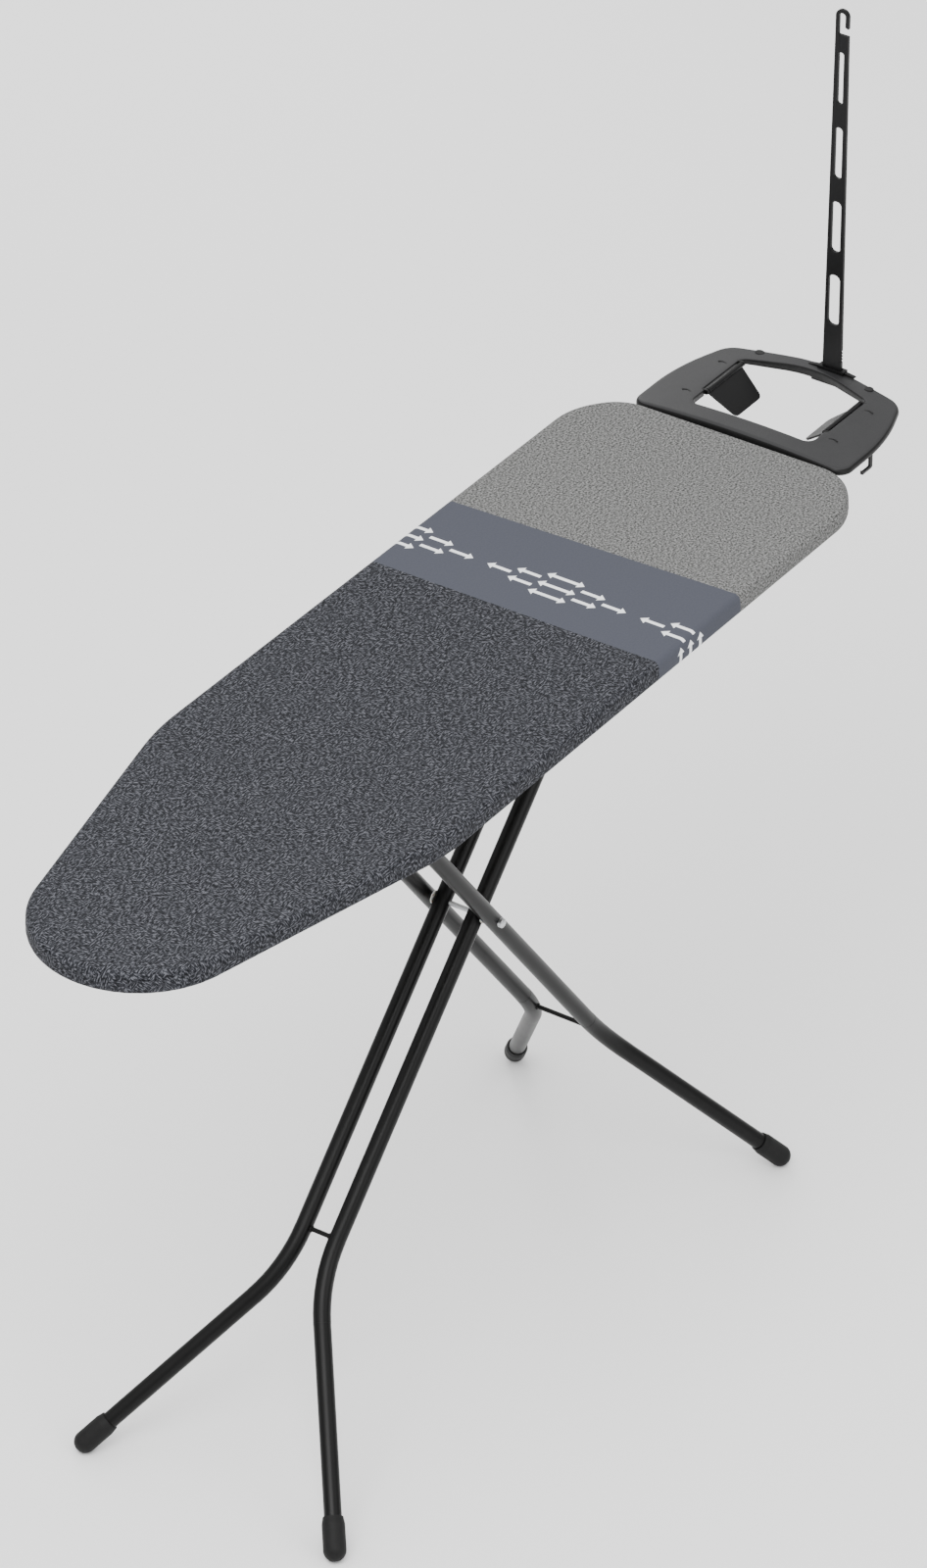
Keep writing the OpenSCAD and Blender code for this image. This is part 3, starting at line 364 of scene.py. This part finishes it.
# Bright zinc: pale grey metal with fine marks along the bar and a slightly uneven shine.
place = add(tree, "TexCoord").outputs["Object"]
marks = add(tree, "TexNoise", {"Vector": place, "Scale": 1 / (DRAW_MM * MM), "Detail": 3})
haze = add(tree, "TexNoise", {"Vector": place, "Scale": 90, "Detail": 3})
shade = add(tree, "MixRGB", {0: haze.outputs["Fac"], 1: tint("#a9abad"), 2: tint("#cfd0d1")})
gloss = add(tree, "MapRange", {"Value": haze.outputs["Fac"], "To Min": 0.24, "To Max": 0.42})
bump = add(tree, "Bump", {"Height": marks.outputs["Fac"], "Strength": 0.08, "Distance": 0.0001})
plate = add(tree, "BsdfPrincipled", {
    "Base Color": shade.outputs[0],
    "Metallic": 1.0,
    "Roughness": gloss.outputs[0],
    "Normal": bump.outputs[0],
})
add(tree, "OutputMaterial", {"Surface": plate.outputs[0]})
dress(
    zinc, "scissor_axle", "axle_head_far", "axle_head_near", "hinge_pin",
    "hinge_pin_clips", "slide_bar", "lever_shaft", "lever_arm", "latch_rack",
    "return_spring", "arm_bolts", "rest_screws", "flap_pin_far", "flap_pin_near",
)

# ---- Glides and washers ----
# The slide bar's two glides and the washers between the crossed tubes. They are natural
# nylon, turned or moulded, and pushed on dry.
nylon, tree = new_material("natural_nylon")
# Nylon: milky, smooth and slightly translucent, so its edges look soft.
place = add(tree, "TexCoord").outputs["Object"]
milk = add(tree, "TexNoise", {"Vector": place, "Scale": 140, "Detail": 2})
shade = add(tree, "MixRGB", {0: milk.outputs["Fac"], 1: tint("#d6d3c9"), 2: tint("#e6e3da")})
wax = add(tree, "BsdfPrincipled", {
    "Base Color": shade.outputs[0],
    "Roughness": 0.38,
    "Subsurface Weight": 0.15,
    "Subsurface Scale": 0.002,
})
add(tree, "OutputMaterial", {"Surface": wax.outputs[0]})
dress(nylon, "glide_far", "glide_near", "axle_washers")

# ---- Lever grip ----
# A moulded grip pushed on the height lever, in black polypropylene with a fine
# spark-eroded grain.
GRAIN_MM = 0.9      # grit of the eroded mould, drawn coarse so that it shows
grip_plastic, tree = new_material("grained_polypropylene")
# Grained polypropylene: dark grey, dull, with a fine pebble that scatters the light.
place = add(tree, "TexCoord").outputs["Object"]
grit = add(tree, "TexVoronoi", {"Vector": place, "Scale": 1 / (GRAIN_MM * MM)})
cast = add(tree, "TexNoise", {"Vector": place, "Scale": 25, "Detail": 2})
shade = add(tree, "MixRGB", {0: cast.outputs["Fac"], 1: tint("#212122"), 2: tint("#29292a")})
gloss = add(tree, "MapRange", {"Value": grit.outputs["Distance"], "To Min": 0.46, "To Max": 0.6})
bump = add(tree, "Bump", {"Height": grit.outputs["Distance"], "Strength": 0.1, "Distance": 0.0002})
pebble = add(tree, "BsdfPrincipled", {
    "Base Color": shade.outputs[0],
    "Roughness": gloss.outputs[0],
    "Specular IOR Level": 0.3,
    "Normal": bump.outputs[0],
})
add(tree, "OutputMaterial", {"Surface": pebble.outputs[0]})
dress(grip_plastic, "lever_grip")
soften(1.6, "lever_grip")

# ---- Flex holder, its socket, the flaps and the side hook ----
# Glass-filled nylon, coloured black right through and moulded in polished cavities. The
# flaps turn on steel pins, and the flex holder's tongue pushes into its socket.
black_nylon, tree = new_material("black_nylon")
# Filled nylon: black and satin, glossier than the rest's top, with faint flow marks.
place = add(tree, "TexCoord").outputs["Object"]
flow = add(tree, "TexNoise", {"Vector": place, "Scale": 60, "Detail": 4, "Distortion": 0.6})
shade = add(tree, "MixRGB", {0: flow.outputs["Fac"], 1: tint("#080808"), 2: tint("#0f0f10")})
gloss = add(tree, "MapRange", {"Value": flow.outputs["Fac"], "To Min": 0.34, "To Max": 0.5})
bump = add(tree, "Bump", {"Height": flow.outputs["Fac"], "Strength": 0.06, "Distance": 0.0003})
satin = add(tree, "BsdfPrincipled", {
    "Base Color": shade.outputs[0],
    "Roughness": gloss.outputs[0],
    "Specular IOR Level": 0.18,
    "Normal": bump.outputs[0],
})
add(tree, "OutputMaterial", {"Surface": satin.outputs[0]})
dress(black_nylon, "flex_holder", "flex_socket", "rest_flap_far", "rest_flap_near", "side_hook")
soften(0.5, "flex_holder", "flex_socket", "rest_flap_far", "rest_flap_near", "side_hook")

# ---- Pad ----
# A 6 mm layer of needled felt over foam, cut to the deck's outline. Its top edge is
# pressed round by the cover. Only its underside shows, through the sheet's holes.
def inner_grid(ring, step, hole=None):
    """Points of the ring and a staggered grid inside it, and the triangles that join them,
    with none in the hole, whose own points follow the ring's."""
    low, high = ring.min(0), ring.max(0)
    bound = ring if hole is None else np.concatenate([ring, hole])
    inside = []
    for row, y in enumerate(np.arange(low[1] + step / 2, high[1], step)):
        for x in np.arange(low[0] + (row % 2) * step / 2, high[0], step):
            apart = np.min(np.linalg.norm(bound - (x, y), axis=1))
            if apart > 0.6 * step and within(ring, x, y) and not (
                hole is not None and within(hole, x, y)
            ):
                inside.append((x, y))
    points = [Vector(p) for p in [*bound.tolist(), *inside]]
    n, m = len(ring), len(bound) - len(ring)
    sides = [(i, (i + 1) % n) for i in range(n)]
    sides += [(n + i, n + (i + 1) % m) for i in range(m)]
    made = delaunay_2d_cdt(points, sides, [], 1, 1e-6)
    flat = np.array([tuple(p) for p in made[0]])
    faces = [tuple(f) for f in made[2]]
    if hole is not None:
        faces = [f for f in faces if not within(hole, *flat[list(f)].mean(0))]
    return flat, faces


def rings_to_mesh(profile, step, wave=None):
    """A flat top inside the profile's first ring, then a wall that follows the profile.
    The profile holds (distance in from the edge, height, distance along the cloth)."""
    first = edge - outward * profile[0][0]
    flat, faces = inner_grid(first, step)
    points = [(x, y, profile[0][1]) for x, y in flat]
    cuts = [(x, y, 0.0) for x, y in flat]
    count = len(edge)
    last = list(range(count))
    for inset, height, run in profile[1:]:
        push = wave(inset, height, run) if wave else np.zeros((count, 2))
        ring = edge + outward * (push[:, :1] - inset)
        start = len(points)
        points += [(x, y, height + dz) for (x, y), dz in zip(ring, push[:, 1])]
        laid = first + outward * run
        cuts += [(x, y, 0.0) for x, y in laid]
        this = list(range(start, start + count))
        faces += [
            (last[i], this[i], this[(i + 1) % count], last[(i + 1) % count])
            for i in range(count)
        ]
        last = this
    return points, faces, cuts


felt, tree = new_material("needled_felt")
# Needled felt: off-white, matt, matted fibres a few millimetres long with darker flecks.
FIBRE_MM = 2.5
place = add(tree, "TexCoord").outputs["Object"]
fibre = add(tree, "TexNoise", {
    "Vector": place, "Scale": 1 / (FIBRE_MM * MM), "Detail": 5, "Roughness": 0.7, "Distortion": 1.2,
})
shade = add(tree, "MixRGB", {0: fibre.outputs["Fac"], 1: tint("#a8a6a0"), 2: tint("#dedcd6")})
bump = add(tree, "Bump", {"Height": fibre.outputs["Fac"], "Strength": 0.5, "Distance": 0.0006})
fluff = add(tree, "BsdfPrincipled", {
    "Base Color": shade.outputs[0],
    "Roughness": 0.95,
    "Sheen Weight": 0.2,
    "Normal": bump.outputs[0],
})
add(tree, "OutputMaterial", {"Surface": fluff.outputs[0]})

PAD_IN, PAD_LOW, PAD_HIGH, PAD_ROUND = 1.9, 848.9, 854.7, 5.2
PAD_GRID = 24
pad_profile = [(PAD_IN + PAD_ROUND, PAD_HIGH, 0)]
for k in range(1, 6):
    a = math.radians(18 * k)
    pad_profile.append((
        PAD_IN + PAD_ROUND * (1 - math.sin(a)), PAD_HIGH - PAD_ROUND * (1 - math.cos(a)), 0,
    ))
pad_profile.append((PAD_IN, PAD_LOW, 0))
points, faces, _ = rings_to_mesh(pad_profile, PAD_GRID)
under, under_faces = inner_grid(edge - outward * PAD_IN, PAD_GRID)
shift = len(points) - AROUND
points += [(x, y, PAD_LOW) for x, y in under[AROUND:]]
faces += [tuple(reversed([v + shift for v in f])) for f in under_faces]
pad = new_object("felt_pad_piece", np.array(points) * MM, faces, felt)
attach(pad, "board")
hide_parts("pad")

# ---- Cover ----
# Cotton jersey with a thin foam backing, cut about 40 mm larger than the deck all
# round. A cord in its hem draws the edge in under the rim, so the skirt puckers.
CLOTH_MM = 1.2
TOP_Z, HEM_Z = 856.0, 831.2
ROUND_MM = 8.0
ROUND_STEPS = 9
cover_profile = [(ROUND_MM, TOP_Z, 0)]
for k in range(1, ROUND_STEPS + 1):
    a = math.pi / 2 * k / ROUND_STEPS
    cover_profile.append((
        ROUND_MM * (1 - math.sin(a)), TOP_Z - ROUND_MM * (1 - math.cos(a)), ROUND_MM * a,
    ))
run = ROUND_MM * math.pi / 2
for inset, height in (
    (0, 845.4), (0, 842.6), (0, 839.8), (0, 837.2), (0.1, 835.2), (0.7, 833.4),
    (1.9, 832.1), (3.6, 831.4), (6, HEM_Z), (9, HEM_Z), (12, HEM_Z), (15, HEM_Z),
    (18, HEM_Z), (20.6, HEM_Z),
):
    before = cover_profile[-1]
    run += math.hypot(inset - before[0], height - before[1])
    cover_profile.append((inset, height, run))
HEM_RUN = run

draw = np.random.default_rng(7)
PUCKER_MM = 17      # average distance between puckers
perimeter = along_edge[-1] + along_edge[1]
phase = np.cumsum(draw.uniform(0.55, 1.45, AROUND))
phase *= round(perimeter / PUCKER_MM) / phase[-1]
depth = 0.55 + 0.45 * np.interp(
    np.arange(AROUND), np.linspace(0, AROUND, 61), np.append(draw.uniform(0, 1, 60), 0.5),
)
pucker = depth * np.cos(2 * math.pi * phase)


SKIRT_RUN = 14      # distance along the cloth where the puckers begin


def gather(inset, height, run):
    """How far the puckers push a ring out and up: nothing on top, most at the hem."""
    share = min(1.0, max(0.0, (run - SKIRT_RUN) / (HEM_RUN - SKIRT_RUN)))
    if height > HEM_Z + 4:
        return np.stack([1.1 * share * (1 + pucker), 0 * pucker], axis=1)
    return np.stack([0.9 * share * pucker, 1.1 * share * (pucker - 1)], axis=1)


COVER_GRID = 13
points, faces, cuts = rings_to_mesh(cover_profile, COVER_GRID, gather)

cover_cloth, tree = new_material("printed_cotton_jersey")
# Cotton jersey in three printed zones: charcoal heather at the nose, a plain slate band
# with white arrows, and light grey heather at the tail. Threads 1.5 mm wide are drawn
# coarser than the real 0.5 mm, so that the flecks show.
FRONT_EDGE, REAR_EDGE = 84.5, 244.0
GROUP_MM, GROUP_AT = 202.0, -13.7       # spacing of the arrow groups across, and one's middle
ROW_MM, ROW_AT = 19.5, 150.4            # spacing of the rows along the board, and their middle
STEP_MM, TIP_MM = 33.5, 24.5            # from tip to tip, and from the middle to the first tip
HEAD_MM, ARROW_MM, SHAFT_MM = 8.0, 31.0, 2.4    # head, whole arrow, and half its shaft
BLUR_MM = 0.6       # half the width in which one printed zone turns into the next
laid = add(tree, "Attribute", attribute_name="cut_mm").outputs["Vector"]
fray = add(tree, "TexNoise", {"Vector": laid, "Scale": 0.5, "Detail": 2})
split = add(tree, "SeparateXYZ", {0: laid})
x, y = split.outputs[0], split.outputs[1]
lean_front = add(tree, "Math", {0: y, 1: 0.01, 2: x}, operation="MULTIPLY_ADD").outputs[0]
lean_rear = add(tree, "Math", {0: y, 1: 0.04, 2: x}, operation="MULTIPLY_ADD").outputs[0]
ragged = add(tree, "MapRange", {"Value": fray.outputs["Fac"], "To Min": -1.2, "To Max": 1.2})
front_line = add(tree, "Math", {0: lean_front, 1: ragged.outputs[0]}, operation="ADD").outputs[0]
rear_line = add(tree, "Math", {0: lean_rear, 1: ragged.outputs[0]}, operation="ADD").outputs[0]
past_front = add(tree, "MapRange", {
    "Value": front_line, "From Min": FRONT_EDGE - BLUR_MM, "From Max": FRONT_EDGE + BLUR_MM,
}).outputs[0]
past_rear = add(tree, "MapRange", {
    "Value": rear_line, "From Min": REAR_EDGE - BLUR_MM, "From Max": REAR_EDGE + BLUR_MM,
}).outputs[0]

THREAD_MM, FLOAT_MM = 1.5, 5.0
lengthwise = add(tree, "Mapping", {"Vector": laid, "Scale": (1 / FLOAT_MM, 1 / THREAD_MM, 1)})
crosswise = add(tree, "Mapping", {
    "Vector": laid, "Scale": (1 / THREAD_MM, 1 / FLOAT_MM, 1), "Rotation": (0, 0, 0.35),
})
warp = add(tree, "TexNoise", {"Vector": lengthwise.outputs[0], "Scale": 1, "Detail": 2})
weft = add(tree, "TexNoise", {"Vector": crosswise.outputs[0], "Scale": 1, "Detail": 2})
patch = add(tree, "TexNoise", {"Vector": laid, "Scale": 0.07, "Detail": 1})
mixed = add(tree, "MapRange", {
    "Value": patch.outputs["Fac"], "From Min": 0.47, "From Max": 0.53,
}).outputs[0]
streak = add(tree, "MixRGB", {0: mixed, 1: warp.outputs["Fac"], 2: weft.outputs["Fac"]}).outputs[0]
dark_tone = add(tree, "ValToRGB", {"Fac": streak})
dark_tone.color_ramp.elements[0].position = 0.36
dark_tone.color_ramp.elements[0].color = tint("#0c0d10")
dark_tone.color_ramp.elements[1].position = 0.66
dark_tone.color_ramp.elements[1].color = tint("#5c5d63")
middle_stop = dark_tone.color_ramp.elements.new(0.5)
middle_stop.color = tint("#25262a")
speck = add(tree, "TexNoise", {"Vector": laid, "Scale": 0.4, "Detail": 3, "Roughness": 0.7})
light_tone = add(tree, "ValToRGB", {"Fac": speck.outputs["Fac"]})
light_tone.color_ramp.elements[0].position = 0.38
light_tone.color_ramp.elements[0].color = tint("#2f2f2e")
light_tone.color_ramp.elements[1].position = 0.64
light_tone.color_ramp.elements[1].color = tint("#838382")
band_tone = add(tree, "MixRGB", {
    0: speck.outputs["Fac"], 1: tint("#3e4048"), 2: tint("#484a52"),
}).outputs[0]

# The arrows: v runs outward from the middle of a group, and zone counts the arrows
# from there. Each zone's rows are half a row off the last one's, and one fewer.
from_middle = add(tree, "Math", {0: y, 1: GROUP_AT}, operation="SUBTRACT").outputs[0]
v = add(tree, "Math", {0: from_middle, 1: GROUP_MM / 2}, operation="PINGPONG").outputs[0]
steps = add(tree, "Math", {
    0: v, 1: 1 / STEP_MM, 2: 1 - (TIP_MM + 2) / STEP_MM,
}, operation="MULTIPLY_ADD").outputs[0]
zone = add(tree, "Math", {0: steps}, operation="FLOOR").outputs[0]
odd = add(tree, "Math", {0: zone, 1: 1.0}, operation="PINGPONG").outputs[0]
u = add(tree, "Math", {0: x, 1: ROW_AT}, operation="SUBTRACT").outputs[0]
moved = add(tree, "Math", {0: odd, 1: ROW_MM / 2, 2: u}, operation="MULTIPLY_ADD").outputs[0]
off_row = add(tree, "Math", {0: moved, 1: ROW_MM / 2}, operation="PINGPONG").outputs[0]
tip = add(tree, "Math", {0: zone, 1: STEP_MM, 2: TIP_MM}, operation="MULTIPLY_ADD").outputs[0]
back = add(tree, "Math", {0: tip, 1: v}, operation="SUBTRACT").outputs[0]
barb = add(tree, "Math", {0: back, 1: 0.8}, operation="MULTIPLY").outputs[0]
past_head = add(tree, "Math", {0: back, 1: HEAD_MM}, operation="GREATER_THAN").outputs[0]
half = add(tree, "Mix", {0: past_head, 2: barb, 3: SHAFT_MM}).outputs[0]
inside = add(tree, "Math", {0: half, 1: off_row}, operation="SUBTRACT").outputs[0]
ink = add(tree, "MapRange", {"Value": inside, "From Min": -0.3, "From Max": 0.3}).outputs[0]
before_end = add(tree, "Math", {0: back, 1: ARROW_MM}, operation="LESS_THAN").outputs[0]
far_from_row = add(tree, "Math", {0: u}, operation="ABSOLUTE").outputs[0]
room_left = add(tree, "Math", {
    0: zone, 1: -ROW_MM / 2, 2: 1.5 * ROW_MM,
}, operation="MULTIPLY_ADD").outputs[0]
in_rows = add(tree, "Math", {0: far_from_row, 1: room_left}, operation="LESS_THAN").outputs[0]
ink = add(tree, "Math", {0: ink, 1: before_end}, operation="MULTIPLY").outputs[0]
ink = add(tree, "Math", {0: ink, 1: in_rows}, operation="MULTIPLY").outputs[0]

band = add(tree, "MixRGB", {0: ink, 1: band_tone, 2: tint("#eceef0")}).outputs[0]
front_half = add(tree, "MixRGB", {0: past_front, 1: dark_tone.outputs[0], 2: band}).outputs[0]
whole = add(tree, "MixRGB", {0: past_rear, 1: front_half, 2: light_tone.outputs[0]}).outputs[0]
knit = add(tree, "Math", {0: streak, 1: speck.outputs["Fac"]}, operation="ADD").outputs[0]
bump = add(tree, "Bump", {"Height": knit, "Strength": 0.35, "Distance": 0.0005})
jersey = add(tree, "BsdfPrincipled", {
    "Base Color": whole, "Roughness": 0.88, "Specular IOR Level": 0.12,
    "Sheen Weight": 0.02, "Normal": bump.outputs[0],
})
add(tree, "OutputMaterial", {"Surface": jersey.outputs[0]})

cover = new_object("cover_cloth_piece", np.array(points) * MM, faces, cover_cloth)
where = cover.data.attributes.new("cut_mm", "FLOAT_VECTOR", "POINT")
where.data.foreach_set("vector", np.array(cuts, np.float32).ravel())
shell = cover.modifiers.new("cloth thickness", "SOLIDIFY")
shell.thickness = CLOTH_MM * MM
shell.offset = -1
shell.use_even_offset = True
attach(cover, "board")
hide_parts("cover")

# ---- Iron rest ----
# One moulding in grained black polypropylene: a low dome with a soft edge round an open
# middle, hollow underneath, with bosses for the arms' screws and lugs for the flaps' pins.
REST_X, REST_END, REST_HALF = 542.0, 728.0, 144.0
REST_TOP, REST_LOW, WALL_LOW = 857.0, 843.0, 847.0
SHELL_MM, EDGE_MM, LIP_MM = 3.0, 5.5, 1.5
FLAP_X, FLAP_Y, FLAP_Z, FLAP_L = 607.0, 80.0, 851.0, 73.0
CROWN_MM = 3000     # twice the radius that the top is arched to
DROOP_MM = 4.5      # how much lower the wings are at their rear ends
ARC, LAST_GRAINED = 7, 3    # steps round an edge, and the last grained one; the steps after it get the darker colour of painted shade
rest_ring, rest_out, _ = rounded_loop(both_sides([
    (REST_END, 20, 150), (REST_END - 18, REST_HALF - 26, 28),
    (REST_X + 95, REST_HALF, 260), (REST_X, REST_HALF, 18),
]), 260)
open_ring, open_out, _ = rounded_loop(both_sides([
    (REST_END - 21, 20, 120), (FLAP_X + FLAP_L + 9, FLAP_Y - 1, 6),
    (FLAP_X + FLAP_L + 4, FLAP_Y + 5, 1.6), (FLAP_X - 4, FLAP_Y + 5, 1.6),
    (FLAP_X - 4, FLAP_Y + 1.5, 1.6), (REST_X + 29, FLAP_Y + 1.5, 12),
]), 420)


def dome(x, y):
    """Height of the rest's top: arched across, and lower towards the wings' rear ends."""
    rear = np.clip((x - REST_X - 40) / 146, 0, 1)
    return REST_TOP - y * y / CROWN_MM - DROOP_MM * rear ** 2 * (y / REST_HALF) ** 2


start_in = rest_ring - rest_out * EDGE_MM
start_out = open_ring + open_out * LIP_MM
flat, faces = inner_grid(start_in, 6, start_out)
points = [(x, y, dome(x, y)) for x, y in flat]
painted_shade_faces = []
for ring, out, first, wide, low, turned in (
    (rest_ring, rest_out, 0, EDGE_MM, REST_LOW, False),
    (open_ring, -open_out, len(rest_ring), LIP_MM, WALL_LOW, True),
):
    count = len(ring)
    last = list(range(first, first + count))
    high = dome(*(ring - out * wide).T)
    foot = low + 1.5 if not turned else high - wide
    for k in range(1, ARC + 2):
        a = math.pi / 2 * min(k, ARC) / ARC
        level = foot + (high - foot) * math.cos(a) if k <= ARC else np.full(count, low)
        flare = ring - out * wide * (1 - math.sin(a))
        begin = len(points)
        points += [(x, y, z) for (x, y), z in zip(flare, level)]
        this = list(range(begin, begin + count))
        for i in range(count):
            j = (i + 1) % count
            quad = (last[i], this[i], this[j], last[j])
            if k > LAST_GRAINED:
                painted_shade_faces.append(len(faces))
            faces.append(quad[::-1] if turned else quad)
        last = this
rest = new_object("iron_rest_piece", np.array(points) * MM, faces, grip_plastic)
shade_painted_gloss, tree = new_material("gloss_polypropylene_painted_shade")
# The moulding's sides are near black and glossier: the near-black colour is painted shade where the
# walls turn from the light, and the lower roughness is a glossier finish.
place = add(tree, "TexCoord").outputs["Object"]
flow = add(tree, "TexNoise", {"Vector": place, "Scale": 45, "Detail": 3, "Distortion": 0.5})
shade = add(tree, "MixRGB", {0: flow.outputs["Fac"], 1: tint("#0a0a0a"), 2: tint("#121212")})
gloss = add(tree, "MapRange", {"Value": flow.outputs["Fac"], "To Min": 0.36, "To Max": 0.48})
sheer = add(tree, "BsdfPrincipled", {
    "Base Color": shade.outputs[0], "Roughness": gloss.outputs[0], "Specular IOR Level": 0.2,
})
add(tree, "OutputMaterial", {"Surface": sheer.outputs[0]})
# The edge steps past the grained ones take the darker copy, whose colour paints shade on the rest's
# sides.
rest.data.materials.append(shade_painted_gloss)
for i in painted_shade_faces:
    rest.data.polygons[i].material_index = 1
wall = rest.modifiers.new("wall", "SOLIDIFY")
wall.thickness, wall.offset = SHELL_MM * MM, -1
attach(rest, "board")
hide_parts("rest_frame")


def moulded(name, outline, low, high, axis, material, round_mm=0.6):
    """A solid drawn along an axis from low to high, with rounded edges, on the board."""
    n = len(outline)
    points = []
    for level in (low, high):
        for a, b in outline:
            points.append({"x": (level, a, b), "z": (a, b, level)}[axis])
    faces = [tuple(range(n))[::-1], tuple(range(n, 2 * n))]
    faces += [(i, (i + 1) % n, n + (i + 1) % n, n + i) for i in range(n)]
    solid = new_object(name, np.array(points) * MM, faces, material, False)
    rounding = solid.modifiers.new("rounded edges", "BEVEL")
    rounding.width, rounding.segments = round_mm * MM, 2
    rounding.limit_method, rounding.angle_limit = "ANGLE", math.radians(50)
    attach(solid, "board")
    return solid


# The bosses, lugs, tabs and stops below take the same darker copy, with its painted shade.
SCREW_Y, BOSS_R = 108, 4.5
LUG_R, LUG_L, LUG_Y = 3.2, 3, 88.5      # the radius, length and root of a lug
CLIP_Y, CLIP_BOW = 99, 2.2
STOP_X, STOP_Y = REST_END - 18, 74
for side in (1, -1):
    label = "far" if side > 0 else "near"
    for k, x in enumerate((REST_X + 46, REST_X + 122)):
        boss = [
            (x + BOSS_R * math.cos(a), side * SCREW_Y + BOSS_R * math.sin(a))
            for a in np.linspace(0, 2 * math.pi, 28, endpoint=False)
        ]
        moulded(f"screw_boss_{label}_{k + 1}", boss, 844.6, 850.5, "z", shade_painted_gloss)
    for k, x in enumerate((FLAP_X - 3.4, FLAP_X + FLAP_L + 0.4)):
        lug = [
            (side * (FLAP_Y - LUG_R * math.sin(a)), FLAP_Z + LUG_R * math.cos(a))
            for a in np.linspace(0, math.pi, 13)
        ] + [(side * LUG_Y, FLAP_Z - LUG_R), (side * LUG_Y, FLAP_Z + 2.6)]
        moulded(f"flap_lug_{label}_{k + 1}", lug[::side], x, x + LUG_L, "x", shade_painted_gloss, 0.4)
    for k, x in enumerate((FLAP_X - 15, FLAP_X + 62)):
        bow = np.linspace(-1, 1, 11)
        clip = [(x + CLIP_BOW * (1 - t * t), side * (CLIP_Y + 6.5 * t)) for t in bow]
        clip += [
            (x - 1.6 + CLIP_BOW * (1 - t * t), side * (CLIP_Y + 5 * t)) for t in bow[::-1]
        ]
        top = dome(x + 1, CLIP_Y)
        moulded(f"clip_tab_{label}_{k + 1}", clip[::side], top - 1, top + 0.5, "z", shade_painted_gloss, 0.2)
    stop = [
        (STOP_X + 5 * math.cos(a), side * (STOP_Y + 6 * math.sin(a)))
        for a in np.linspace(0, 2 * math.pi, 24, endpoint=False)
    ]
    top = dome(STOP_X, STOP_Y)
    moulded(f"flap_stop_{label}", stop[::side], top - 2, top + 0.9, "z", shade_painted_gloss, 0.7)
# The thick part of the rear bar, which the flex holder's socket is moulded into.
socket_boss = [(711, -43), (723.5, -43), (723.5, 5), (711, 5)]
moulded("socket_boss_piece", socket_boss, 841, 852.5, "z", shade_painted_gloss, 1.2)
